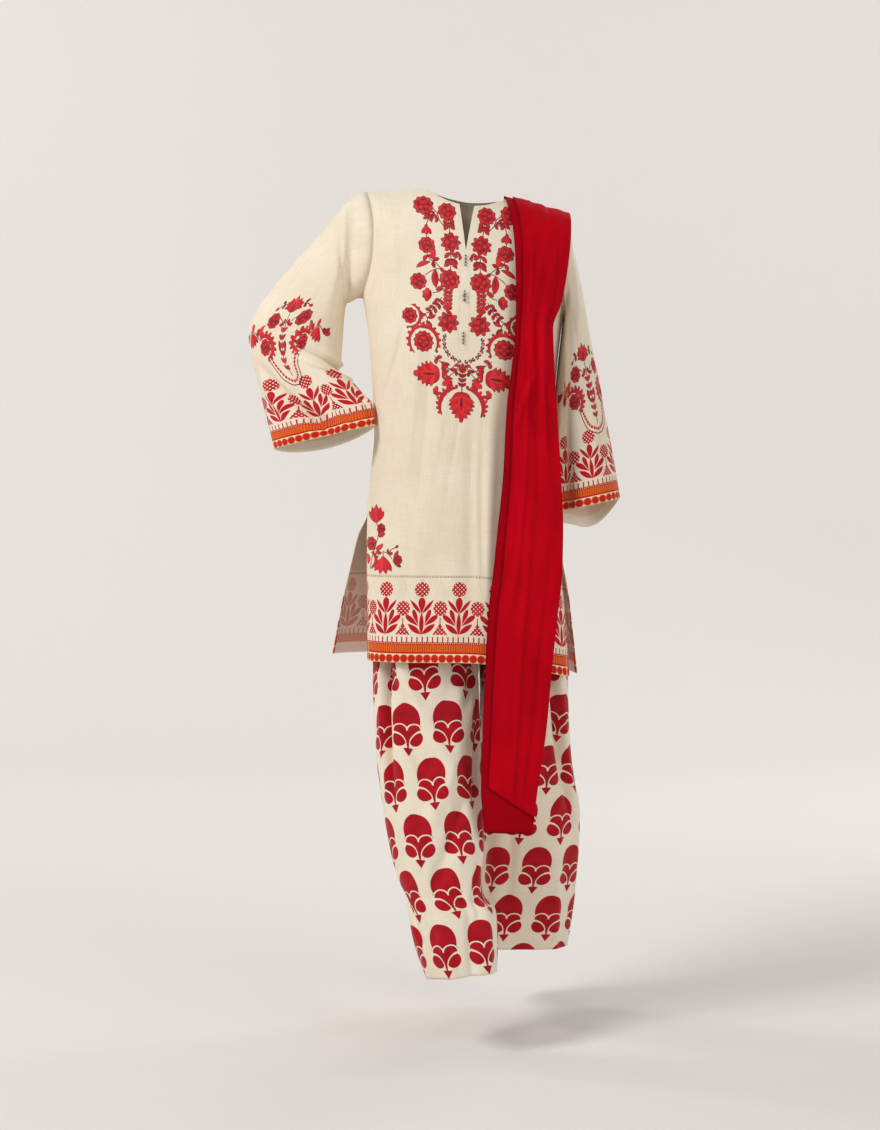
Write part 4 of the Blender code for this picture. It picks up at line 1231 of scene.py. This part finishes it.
def dress_waistband():
    points = waistband()
    turn = np.arange(points.shape[1]) / points.shape[1]
    drop = np.linspace(0, 1, points.shape[0])[:, None]
    gather = 0.0009 * np.sin(turn * 2 * math.pi * GATHERS) * np.sin(drop * math.pi)
    ribs = 0.0006 * np.abs(np.sin(drop * math.pi * RIBS))
    points = points - grid_normals(points, True) * (0.0010 + gather + ribs)[..., None]
    plane = np.stack([lengths(points, 1, ring=True), with_first(lengths(points, 0))], axis=-1)
    paints = [PLAIN_CLOTH]
    dress("shalwar_waistband", "waistband_cloth", points, plane, paints, "gathered", ring=True)


def dress_scarf():
    stations = stretches(*SCARF_ROWS)
    points = scarf_grid(stations)
    far = (stations / stations[-1])[:, None]
    upper = np.linspace(1, SCARF_REVEAL, SCARF_LAYER + 1)
    lift = folds(SCARF_FOLDS, upper, far) * smooth_step((1.02 - upper) / 0.08)
    ripple = 0.0007 * np.sin(upper * 23 + 5 * np.sin(far * 17))
    ripple = ripple * smooth_step((upper - SCARF_REVEAL) * 12)
    rise = np.zeros(points.shape[:2])
    rise[:, -SCARF_LAYER - 1:] = lift + ripple * smooth_step((1.0 - upper) / 0.08)
    points = points + grid_normals(points, False) * rise[..., None]
    along, down = lengths(points, 1), lengths(points, 0)
    # The way to the nearest edge, with 1 more on the under layer
    beyond = along[:, -1:] - along
    near = np.where(along < beyond, 1 + along, beyond)
    edge = np.stack([near, np.minimum(down, down[-1:] - down)], axis=-1)
    plane = np.stack([along, down], axis=-1)
    dress(
        "dupatta", "red_cloth", points, plane, [SCARF_CLOTH], "folded",
        ["kameez_front_cloth", "kameez_back_cloth"], wall=SCARF_WALL, edge=edge,
    )


# Embroidery, drawn on a plane in millimetres and laid on a piece as low relief

def aside(vectors):
    """Vectors of the plane turned a quarter."""
    return np.stack([-vectors[..., 1], vectors[..., 0]], axis=-1)


def around(centre, radius, turn):
    return np.array(centre) + radius * np.array([math.sin(turn), -math.cos(turn)])


def smooth_path(points, count):
    """A number of points on a smooth curve through points. It may turn back."""
    points = np.array(points, float)
    tangent = np.gradient(points, axis=0)
    at = np.linspace(0, len(points) - 1, count)
    i = np.clip(np.searchsorted(np.arange(len(points)), at) - 1, 0, len(points) - 2)
    s = (at - i)[:, None]
    low = (1 + 2 * s) * points[i] + s * tangent[i]
    high = (3 - 2 * s) * points[i + 1] + (s - 1) * tangent[i + 1]
    return (1 - s) ** 2 * low + s * s * high


class Embroidery:
    """Thread shapes drawn on a plane, x across and y down, in millimetres."""

    def __init__(self):
        self.points, self.heights, self.faces, self.paints, self.grain = [], [], [], [], []

    def strip(self, middle, widths, crown, base, paint):
        """A low ridge: points along its middle and its half width at each."""
        start = len(self.points)
        side = aside(unit(np.gradient(middle, axis=0)))
        for point, out, width in zip(middle, side, widths):
            for share, lift in ((-1, 0.0), (-0.45, 0.8), (0.45, 0.8), (1, 0.0)):
                self.points.append(point + out * width * share)
                self.heights.append(base + crown * lift)
        for i in range(len(middle) - 1):
            for j in range(3):
                a = start + 4 * i + j
                self.faces.append((a, a + 4, a + 5, a + 1))
                self.paints.append(paint)
                self.grain.append(((0, i), (0, i + 1), (1, i + 1), (1, i)))

    def petal(
        self, start, end, width, paint=RED, bend=0.0, shape=1.0, lift=0.0, outline=0.7, steps=7
    ):
        """A petal or leaf from start to end. bend moves its middle sideways. shape 1 is a pointed
        leaf, and less than 1 is fuller at the end."""
        start, end = np.array(start, float), np.array(end, float)
        size = np.linalg.norm(end - start)
        along = (end - start) / size
        t = np.linspace(0, 1, steps)
        form = np.clip(np.sin(math.pi * (1 - (1 - t) ** shape)), 0, None) ** 0.85
        bow = aside(along) * (bend * 4 * t * (1 - t))[:, None]
        layers = [(outline, 0.16, 0.02, MAROON)] if outline else []
        for grow, crown, base, colour in (*layers, (0.0, 0.34, 0.16, paint)):
            widths = width * form + grow
            widths[[0, -1]] = grow * 0.6 + 0.05
            middle = start - along * grow + along * (size + 2 * grow) * t[:, None] + bow
            self.strip(middle, widths, crown, lift + base, colour)

    def ray(self, centre, near, far, turn, width, paint, **more):
        """A petal on a line out from a centre, between two distances from it."""
        self.petal(around(centre, near, turn), around(centre, far, turn), width, paint, **more)

    def fan(
        self, root, centre, radius, aim, turns, width, shape,
        paints=(RED, BRIGHT), odd=False, less=0,
    ):
        """Petals from a root to places round a centre. With odd, the one in the middle has the
        second paint, and otherwise those of positive turns have it."""
        for turn in turns:
            end = around(centre, radius - less * abs(turn), aim + turn)
            self.petal(root, end, width, paints[turn == 0 if odd else turn > 0], shape=shape)

    def line(self, points, width=0.75, paint=MAROON, lift=0.04, smooth=True):
        """A stem through points."""
        points = np.array(points, float)
        if smooth and len(points) > 2:
            points = smooth_path(points, 5 * (len(points) - 1) + 1)
        self.strip(points, np.full(len(points), width), 0.26, lift, paint)
        return points

    def rosette(self, centre, radius, petals=9, turn=0.0, pointed=False):
        """A full flower: outer petals, inner petals and a knot of threads."""
        shape, wide = (1.0, 2.1) if pointed else (0.62, 2.3)
        for i in range(petals):
            at, paint = turn + 2 * math.pi * i / petals, (RED, BRIGHT)[i % 2]
            width = radius * wide / petals
            self.ray(centre, radius * 0.22, radius, at, width, paint, shape=shape, outline=1.0)
        ring = [around(centre, radius * 0.60, a) for a in np.linspace(0, 2 * math.pi, 17)]
        self.line(ring, 0.8, lift=0.40, smooth=False)
        for i in range(petals - 3):
            at, paint = turn + 0.3 + 2 * math.pi * i / (petals - 3), (BRIGHT, DEEP)[i % 2]
            near, far, width = radius * 0.10, radius * 0.56, radius * 0.15
            self.ray(centre, near, far, at, width, paint, lift=0.40, steps=5)
        knot = radius * 0.16
        self.ray(centre, knot, -knot, 0, radius * 0.13, DEEP, lift=0.66, outline=0.6, steps=5)

    def palm(self, root, tip, width, pairs):
        """A serrated drop: leaf pairs that follow a drop's outline, round a pointed heart."""
        root, tip = np.array(root, float), np.array(tip, float)
        size = np.linalg.norm(tip - root)
        along = (tip - root) / size
        out = aside(along)
        for i in reversed(range(pairs)):
            t = (i + 0.35) / (pairs + 0.3)
            reach = width * math.sin(math.pi * min(1.0, t ** 0.75 + 0.10)) ** 0.8
            for side in (-1, 1):
                near = root + along * size * (t * 0.80) + out * side * width * 0.06
                far = root + along * size * min(1.0, t * 0.95 + 0.16) + out * side * (reach + 1.5)
                paint = (RED, BRIGHT)[i % 2]
                self.petal(near, far, width * 0.20, paint, bend=-side * 1.2, outline=0.8)
        for low, high, wide, paint, more in (
            (0.45, 1.00, 0.26, RED, dict(outline=0.8)),
            (0.05, 0.80, 0.34, BRIGHT, dict(shape=0.8, lift=0.30, outline=0.6)),
            (0.15, 0.66, 0.12, MAROON, dict(lift=0.55, outline=0)),
        ):
            near, far = root + along * size * low, root + along * size * high
            self.petal(near, far, width * wide, paint, **more)

    def crescent(self, centre, radius, start, end, width, teeth):
        """A toothed crescent round a centre, thick in its middle."""
        points = np.array([around(centre, radius, a) for a in np.linspace(start, end, 15)])
        form = np.sin(math.pi * np.linspace(0, 1, 15)) ** 0.6
        self.strip(points, width * form + 0.8, 0.16, 0.02, MAROON)
        self.strip(points, width * form + 0.1, 0.34, 0.16, RED)
        for i in range(teeth):
            t = (i + 0.6) / teeth
            at, step = start + (end - start) * t, (end - start) / teeth
            tall = width * (0.7 + 1.3 * math.sin(math.pi * t))
            near = around(centre, radius + width * 0.35, at)
            far = around(centre, radius + width * 0.5 + tall, at + step * 0.35)
            self.petal(near, far, width * 0.55 + 0.5, (RED, BRIGHT)[i % 2], outline=0.6, steps=5)

    def spray(self, points, leaves, size, width):
        """A stem with leaves on its sides and one at its end."""
        line = self.line(points)
        first, last = 0.15, 0.97  # shares of the stem between which the leaves stand
        for i in range(leaves):
            t = first + (last - first) * i / leaves
            k = min(len(line) - 2, int(t * (len(line) - 1)))
            ahead = unit(line[k + 1] - line[k])
            for side in (-1, 1):
                out, paint = aside(ahead) * side, (RED, DEEP)[i % 2]
                near = line[k] + out * 0.6
                far = line[k] + ahead * size * 0.72 + out * size * 0.85
                self.petal(near, far, width * 1.1, paint, side * 0.8, outline=0.6, steps=6)
        self.petal(line[-1], line[-1] + unit(line[-1] - line[-3]) * size, width, outline=0.55)

    def scrolls(self, points, pitch=6.8, radius=2.9, filled=False):
        """A chain of small open rings or filled rounds along a line."""
        line = smooth_path(points, 200)
        far = np.concatenate([[0], np.cumsum(np.linalg.norm(np.diff(line, axis=0), axis=1))])
        for i, place in enumerate(np.arange(pitch / 2, far[-1], pitch)):
            centre = np.array([np.interp(place, far, line[:, k]) for k in (0, 1)])
            if filled:
                self.ray(centre, radius, -radius, 0, radius * 0.85, (RED, BRIGHT)[i % 2], outline=0)
                continue
            turns = np.linspace(0, 1.75 * math.pi, 11) + (i % 2) * math.pi
            ring = [around(centre, radius * (1 - 0.035 * n), a) for n, a in enumerate(turns)]
            self.line(ring, 1.05, (MAROON, DEEP)[i % 2], smooth=False)
            self.ray(centre, 1.1, -1.1, 0, 0.9, BROWN, outline=0, steps=5)

    def add(self, other, sides=(1,)):
        """Adds another drawing as it is, and for a side of -1 mirrored about x = 0."""
        for side in sides:
            start = len(self.points)
            self.points += [p * (side, 1) for p in other.points]
            self.heights += other.heights
            self.faces += [tuple(start + v for v in face[::side]) for face in other.faces]
            self.paints += other.paints
            self.grain += [g[::side] for g in other.grain]

    def moved(self, place, turn, scale):
        """The drawing scaled across and down, turned about its origin and shifted to a place."""
        c, s = math.cos(turn), math.sin(turn)
        scaled = [p * scale for p in self.points]
        self.points = [np.array([c * x - s * y, s * x + c * y]) + place for x, y in scaled]
        return self

    def build(self, name, surface, inside=None):
        """The drawing as one piece on a surface: surface(x, y) gives points and normals."""
        plane = np.array(self.points).T
        points, normals = surface(*plane)
        points = points + normals * (np.array(self.heights)[:, None] / 1000)
        faces, paints, grain = (np.array(items) for items in (self.faces, self.paints, self.grain))
        if inside is not None:
            kept = inside(*plane)[faces].all(axis=1)
            faces, paints, grain = faces[kept], paints[kept], grain[kept]
        piece = new_piece(name, points, faces, THREAD_MATERIALS, cloth=grain)
        piece.data.polygons.foreach_set("material_index", paints.tolist())
        belongs(piece, "cream_cloth")


def yoke():
    """The yoke: one half drawn at the viewer's left, mirrored, and a palm at its foot."""
    art = Embroidery()
    art.rosette((-77, 49), 18, 10)
    art.rosette((-35, 57), 16, 9, 0.3)
    art.line([(-60, 54), (-52, 62), (-48, 74), (-40, 84)])
    art.spray([(-62, 56), (-66, 68), (-70, 84)], 3, 9, 2.6)
    art.spray([(-32, 68), (-31, 80), (-29, 94)], 3, 11, 3.0)
    art.spray([(-50, 70), (-58, 72), (-66, 70)], 1, 8, 2.4)
    art.fan((-70, 88), (-70, 90), 14, math.pi, (-0.6, 0, 0.6), 3.2, 0.8, odd=True)
    art.line([(-70, 100), (-70, 110)])
    art.rosette((-69, 122), 14.5, 8, 0.2)
    art.rosette((-27, 113), 17.5, 9, 0.1, pointed=True)
    art.spray([(-27, 128), (-25, 146), (-26, 160)], 3, 13, 3.2)
    art.spray([(-8, 133), (-16, 138), (-22, 146)], 1, 8, 2.4)
    art.spray([(-68, 136), (-64, 146), (-52, 152), (-44, 160)], 2, 11, 3.0)
    art.petal((-62, 152), (-86, 164), 4.0, bend=2.5)
    art.petal((-56, 148), (-54, 128), 4.2, BRIGHT, bend=-2.0)
    art.line([(-70, 176), (-60, 168), (-46, 162), (-36, 168)])
    art.rosette((-82, 188), 14.5, 9, 0.1)
    art.petal((-52, 164), (-50, 196), 6.0, bend=1.5)
    art.petal((-52, 168), (-51, 186), 2.4, DEEP, lift=0.3, outline=0)
    art.rosette((-27, 180), 18, 11, 0.0)
    art.line([(-36, 196), (-46, 203), (-56, 206)])
    art.fan((-62, 210), (-62, 210), 12.5, -math.pi / 2, (-1.1, -0.35, 0.4, 1.15), 3.6, 0.7)
    art.petal((-60, 202), (-62, 218), 3.2, DEEP, lift=0.3, outline=0.4)
    for i in range(5):
        drop = 200 + i * 7.0
        for side in (-1, 1):
            end = (-29 + side * 7.5, drop - 1)
            art.petal((-29, drop + 4), end, 2.9, (RED, BRIGHT)[i % 2], shape=0.8)
    art.petal((-29, 226), (-29, 238), 3.2)
    art.line([(-29, 194), (-29, 234)], 0.7)
    art.spray([(-40, 212), (-46, 224), (-56, 236), (-68, 244)], 4, 9, 2.7)
    art.petal((-50, 200), (-39, 193), 3.8, bend=1.0)
    art.rosette((-96, 249), 13.5, 9, 0.2)
    art.crescent((-96, 249), 19.5, 0.1, 3.4, 1.8, 8)
    art.line([(-78, 246), (-70, 244), (-64, 252), (-66, 262)])
    art.petal((-64, 250), (-50, 244), 3.0, bend=1.0)
    art.petal((-66, 256), (-56, 266), 3.0, DEEP, bend=-1.0)
    art.rosette((-27, 254), 18.5, 9, 0.15, pointed=True)
    art.rosette((-70, 291), 17.5, 12, 0.1)
    art.crescent((-70, 291), 26.0, -2.5, 2.2, 2.8, 13)
    art.scrolls([(-33, 275), (-33, 293), (-26, 308), (-13, 317), (-3, 320)])
    art.crescent((-62, 338), 30.0, 1.0, 2.0, 3.2, 5)
    art.spray([(-50, 314), (-40, 322), (-28, 332), (-18, 334)], 2, 9, 2.8)
    art.palm((-38, 344), (-88, 346), 20.0, 6)
    art.line([(-36, 344), (-24, 336), (-14, 328), (-8, 322)])
    art.line([(-36, 342), (-32, 340), (-26, 341)])
    art.spray([(-4, 324), (-12, 336), (-22, 346)], 2, 7.5, 2.3)
    art.petal((-20, 352), (-34, 362), 4.4, BRIGHT, shape=0.7)
    art.petal((-18, 354), (-24, 366), 3.8, shape=0.7)
    art.petal((-17, 350), (-30, 351), 3.6, shape=0.7)
    art.fan((-43, 373), (-43, 373), 8, -math.pi / 2, (-1.5, -0.6, 0.3, 1.2), 3.2, 0.7)
    art.crescent((-6, 397), 32.0, -2.1, -0.05, 3.4, 9)
    whole = Embroidery()
    whole.add(art, (1, -1))
    whole.line([(0, 322), (0, 350), (0, 376)], 0.9)
    for i in range(4):
        for side in (-1, 1):
            whole.petal((0, 338 + 8 * i), (side * 6.5, 332 + 8 * i), 2.2, (RED, DEEP)[i % 2])
    whole.petal((0, 332), (0, 322), 2.6)
    whole.palm((0, 370), (0, 424), 21.0, 7)
    return whole


def sleeve_art():
    """Two paisleys joined by a chain, with a tulip, round flowers and bells, upright and y down."""
    art = Embroidery()
    for side in (-1, 1):
        x, y = side * 43, 14
        art.rosette((x, y), 13.0, 8, 0.2)
        art.crescent((x, y), 18.0, *((-2.9, 0.9) if side > 0 else (-0.9, 2.9)), 3.6, 10)
        art.petal((x + side * 10, y - 14), (x + side * 3, y - 34), 4.8, BRIGHT, bend=side * 5.0)
        chain = [(side * 30, 30), (side * 24, 48), (side * 17, 62), (side * 6, 69), (0, 70)]
        art.scrolls(chain, 5.6, filled=True)
        art.line([(side * 35, 34), (side * 30, 52), (side * 22, 67), (side * 9, 76), (0, 77)], 0.9)
        art.spray([(side * 4, -20), (side * 14, -30), (side * 24, -34)], 1, 8, 2.4)
        art.rosette((side * 31, -28), 13.0, 8, 0.3)
        art.line([(side * 58, 2), (side * 70, -10), (side * 82, -14), (side * 92, -6)])
        art.petal((side * 62, -4), (side * 60, -16), 3.4, bend=side * 1.5)
        art.petal((side * 74, -13), (side * 78, -25), 3.6, BRIGHT)
        bell, turns = (side * 80, -12), (-0.55, -0.2, 0.2, 0.55)
        art.fan(bell, bell, 24, math.pi + side * 0.25, turns, 3.6, 0.75)
        root, tuft = (side * 95, -2), (side * 97, -4)
        art.fan(root, tuft, 9, side * 0.6, (-1.2, 0, 1.2), 3.0, 0.7, (DEEP, RED))
        art.spray([(side * 8, -52), (side * 22, -56), (side * 32, -50)], 2, 7.5, 2.2)
        art.petal((side * 8, 20), (side * 8, 4), 3.0, DEEP, bend=-side)
    art.line([(0, 62), (0, 20), (0, -40)], 0.9)
    for i in range(6):
        for side in (-1, 1):
            art.petal((0, 50 - 12 * i), (side * 7.0, 43 - 12 * i), 2.7, (RED, BRIGHT)[i % 2])
    tulip = (0, -42)
    art.fan(tulip, tulip, 30, 0, (-0.75, -0.38, 0, 0.38, 0.75), 4.6, 0.8, odd=True, less=8)
    art.petal(tulip, (0, -60), 2.2, DEEP, lift=0.4, outline=0.5)
    return art


def corner_art():
    """A stem up the side slit and a bell on an arched one along the seam, in both lower corners."""
    art = Embroidery()
    art.line([(-170, 682), (-166, 662), (-158, 640), (-152, 618), (-156, 598)])
    tulip, bell = (-157, 600), (-141, 658)
    art.fan(tulip, tulip, 31, 0, (-0.7, -0.35, 0, 0.35, 0.7), 4.8, 0.8, odd=True, less=8)
    art.rosette((-146, 610), 8.5, 7)
    art.petal((-153, 622), (-138, 618), 3.4, bend=1.0)
    art.rosette((-168, 636), 11.5, 8, 0.3)
    art.petal((-158, 645), (-142, 636), 3.8, BRIGHT, bend=2.0)
    art.petal((-157, 650), (-146, 654), 3.0, bend=-1.0)
    art.crescent((-170, 664), 13.0, 0.2, 2.9, 2.4, 7)
    art.petal((-174, 672), (-176, 654), 5.0, BRIGHT)
    art.line([(-160, 672), (-152, 656), (-141, 650), (-130, 654), (-122, 662)])
    art.line([(-141, 651), (-141, 660)])
    art.fan(bell, bell, 31, math.pi, (-0.62, -0.22, 0.22, 0.62), 5.0, 0.75)
    art.rosette((-111, 664), 9.0, 7)
    art.petal((-118, 660), (-110, 648), 3.0)
    art.petal((-116, 668), (-104, 676), 3.0, DEEP)
    art.spray([(-130, 654), (-124, 646), (-116, 642)], 1, 7, 2.2)
    both = Embroidery()
    both.add(art, (1, -1))
    return both


def under_neck(x, drop):
    """Where the front has cloth: below its neck edge."""
    return drop > 1000 * neck_drop(FRONT, x / 1000) + 0.6


def inside_edges(x, drop):
    """Where the front has cloth: between its side edges and above the border seam."""
    half = 1000 * half_widths(BODY[FRONT], x, drop / 1000)
    return (np.abs(x) < half - 1.5) & (drop < 1000 * BORDER_DROP - 2)


def embroider(sleeves):
    yoke().build("yoke_embroidery", laid(FRONT), under_neck)
    corner_art().build("corner_embroidery", laid(FRONT), inside_edges)
    for word, (place, tilt, scale) in SLEEVE_ART.items():
        art = sleeve_art().moved(np.array(place), tilt, np.array(scale))
        art.build("sleeve_" + word + "_embroidery", sleeves[word])


# Beads

def bead_strand(top_drop, radii):
    """Where the front holds a drop of beads: its top, its direction and the way out."""
    foot_drop = top_drop + 2 * sum(radii) + BEAD_GAP * (len(radii) - 1)
    top, foot = body(FRONT, np.zeros(2), np.array([top_drop, foot_drop]))
    down = unit(foot - top)
    outward = np.cross([1, 0, 0], down)
    outward *= -np.sign(outward[1])
    return top + outward * (max(radii) + SEAM), down, outward


def ball(radius, steps, facet=0.0):
    """A bead's profile: heights and radii."""
    return [
        (radius * math.cos(a), radius * (math.sin(a) + facet * abs(math.sin(6 * a))) + 1e-5)
        for a in np.linspace(0, math.pi, steps + 1)
    ]


def dress_beads():
    """Faceted silver beads on a thread, the middle group with an open oval ring."""
    turn = (2 * math.pi * np.arange(BEAD_SIDES) / BEAD_SIDES)[:, None]
    aside_axis = np.array([1, 0, 0])
    for name, (top_drop, radii) in BEAD_DROPS.items():
        start, down, outward = bead_strand(top_drop, radii)
        ring = np.cos(turn) * aside_axis + np.sin(turn) * outward

        def turned(profile, place):
            """The rings of a profile of heights and radii, turned about the strand's direction."""
            return [place - down * height + radius * ring for height, radius in profile]

        def outs(count):
            """Directions round the open ring."""
            angles = np.linspace(0, 2 * math.pi, count + 1)[:-1]
            return [math.sin(a) * aside_axis * RING_WIDE + math.cos(a) * down for a in angles]

        parts, height = [], 0.0
        for radius in radii:
            middle = start + down * (height + radius)
            if radius > RING_RADIUS:
                wire, hoop = 0.00088, radius * 0.80
                hoops = [
                    middle + out * hoop + wire * (out * np.cos(turn) + outward * np.sin(turn))
                    for out in outs(32)
                ]
                parts.append((hoops, True))
                knobs = [middle + hoop * out + outward * 0.0005 for out in outs(12)]
                parts += [(turned(ball(0.0005, 5), knob), False) for knob in knobs]
                parts.append((turned(ball(radius * 0.34, 8), middle), False))
            else:
                parts.append((turned(ball(radius, 14, 0.10), middle), False))
            height += 2 * radius + BEAD_GAP
        thread = [(-h, 0.00032) for h in np.linspace(0, height - BEAD_GAP, 9)]
        parts.append((turned(thread, start - outward * 0.0002), False))
        points = np.concatenate([ring for rings, closed in parts for ring in rings])
        faces, count = [], 0
        for rings, closed in parts:
            faces.append(quads(len(rings), BEAD_SIDES, closed, True)[:, [0, 3, 2, 1]] + count)
            count += len(rings) * BEAD_SIDES
        piece = new_piece(name + "_beads", points, np.concatenate(faces), [SILVER])
        belongs(piece, "bead_metal", name)


# Seams

def piping(name, loop, radius, paint, steps=8):
    """A cord round a loop of points."""
    ahead = unit(np.roll(loop, -1, axis=0) - np.roll(loop, 1, axis=0))
    side = unit(np.cross(ahead, [1.0, 0, 0]))
    third = np.cross(ahead, side)
    turn = (2 * math.pi * np.arange(steps) / steps)[None, :, None]
    points = loop[:, None] + radius * (np.cos(turn) * side[:, None] + np.sin(turn) * third[:, None])
    belongs(new_piece(name, points, quads(len(loop), steps, True, True), [paint]), "cream_cloth")


def dress_seams():
    """A ladder of bars over each border's seam, and stitches along slit, placket and neck edges."""
    for side, word in SIDES:
        loop = armhole_loop(side) - [side * SEAM, 0, 0]
        piping("armhole_seam_" + word, loop, 0.0012, THREAD_MATERIALS[PALE])
    for face, name in ((FRONT, "front"), (BACK, "back")):
        right, left = (
            1000 * float(curve(BODY[face], "drop", word, BORDER_DROP)) for word in ("right", "left")
        )
        art = Embroidery()
        drop = 1000 * BORDER_DROP
        tape = np.array([(x, drop) for x in np.arange(-right + 2, left - 1, 4.0)])
        art.line(tape, 1.1, PALE, lift=0.02, smooth=False)
        for x in np.arange(-right + 3, left - 2, 4.8):
            art.line([(x, drop - 1.4), (x, drop + 1.4)], 0.42, BROWN, lift=0.16, smooth=False)
        for side, word in SIDES:
            for edge, top, paint, thick in ((1.4, 640, RED, 0.45), (4.2, 660, PALE, 0.25)):
                drops = np.linspace(top, 1000 * HEM_DROP - 1, 60)
                half = 1000 * curve(BODY[face], "drop", word, drops / 1000)
                line = np.stack([side * (half - edge), drops], axis=1)
                art.line(line, thick, paint, lift=0.05, smooth=False)
        if face == FRONT:
            for x in (-8.5, 8.5):
                art.line([(x, 132), (x, 200), (x, 262), (x * 0.9, 300)], 0.28, PALE, lift=0.06)
            art.line([(-7.6, 300), (7.6, 300)], 0.28, PALE, lift=0.06, smooth=False)
            across = np.linspace(-70, 70, 81)
            across = across[np.abs(across) > 1000 * SLIT_HALF + 1]
            for half_neck in (across[across < 0], across[across > 0]):
                below = 1000 * neck_drop(FRONT, half_neck / 1000) + 4.0
                neck = np.stack([half_neck, below], axis=1)
                art.line(neck, 0.3, PALE, lift=0.06, smooth=False)
        art.build(name + "_seam_stitches", laid(face, 1))


# Stage

SUIT_MIDDLE = (-0.03, 0, -0.65)
# Each light: where it stands, what it faces, its size, its power and its colour
LIGHTS = {
    "key": ((-2.7, -2.1, 1.8), SUIT_MIDDLE, 1.1, 99, (1, 0.99, 0.975)),
    "fill": ((2.8, -3.0, 0.4), SUIT_MIDDLE, 2.2, 44, (0.975, 0.985, 1)),
    "wall_left": ((-3.6, 2.0, 2.4), (-0.8, 6.0, 0.0), 2.0, 96, (1, 1, 1)),
    "wall_right": ((3.6, 2.0, 2.4), (1.0, 6.0, 0.0), 2.0, 82, (1, 1, 1)),
    "behind": ((2.2, 3.4, 1.6), SUIT_MIDDLE, 1.6, 30, (1, 1, 1)),
}
CAMERA_PLACE = (-0.0486, -4.0, -0.504)
CAMERA_TILT = 2.19  # degrees below level
CAMERA_LENS, CAMERA_SENSOR = 70.8, 36  # millimetres
ROOM_COLOUR, ROOM_LIGHT = (0.985, 0.985, 1.0, 1), 0.34


def backdrop():
    """A paper floor that bends up into a wall."""
    half, start, floor_z, wall_y, top, bend = 9.0, -8.0, -1.50, 6.0, 6.0, 2.4
    profile = [(start, floor_z), (wall_y - bend, floor_z)]
    for turn in np.linspace(0, math.pi / 2, 17)[1:]:
        y, z = wall_y - bend + bend * math.sin(turn), floor_z + bend * (1 - math.cos(turn))
        profile.append((y, z))
    profile.append((wall_y, top))
    points = [(x, y, z) for y, z in profile for x in (-half, half)]
    faces = [(2 * i, 2 * i + 1, 2 * i + 3, 2 * i + 2) for i in range(len(profile) - 1)]
    sockets = {"Base Color": BACKDROP, "Roughness": 0.9, "Specular IOR Level": 0.1}
    paper = new_material("backdrop_paper", lambda tree: sockets)
    new_piece("backdrop", points, faces, [paper])


def studio():
    backdrop()
    lens = bpy.data.cameras.new("camera")
    lens.lens, lens.sensor_width, lens.sensor_fit = CAMERA_LENS, CAMERA_SENSOR, "AUTO"
    camera = new_object("camera", lens)
    camera.location = CAMERA_PLACE
    camera.rotation_euler = (math.radians(90 - CAMERA_TILT), 0, 0)
    bpy.context.scene.camera = camera
    for name, (place, target, size, power, colour) in LIGHTS.items():
        data = bpy.data.lights.new(name, "AREA")
        data.shape, data.size, data.energy, data.color = "SQUARE", size, power, colour
        light = new_object(name, data)
        light.location = place
        light.rotation_euler = (Vector(target) - Vector(place)).to_track_quat("-Z", "Y").to_euler()
        light.visible_camera = False
    world = bpy.data.worlds.new("studio")
    bpy.context.scene.world = world
    world.use_nodes = True
    feed(world.node_tree.nodes["Background"], {"Color": ROOM_COLOUR, "Strength": ROOM_LIGHT})


dress_waistband()
dress_body()
sleeve_surfaces = dress_sleeves()
dress_shalwar()
dress_scarf()
dress_beads()
dress_seams()
embroider(sleeve_surfaces)
studio()
bpy.context.scene.view_settings.view_transform = "Standard"
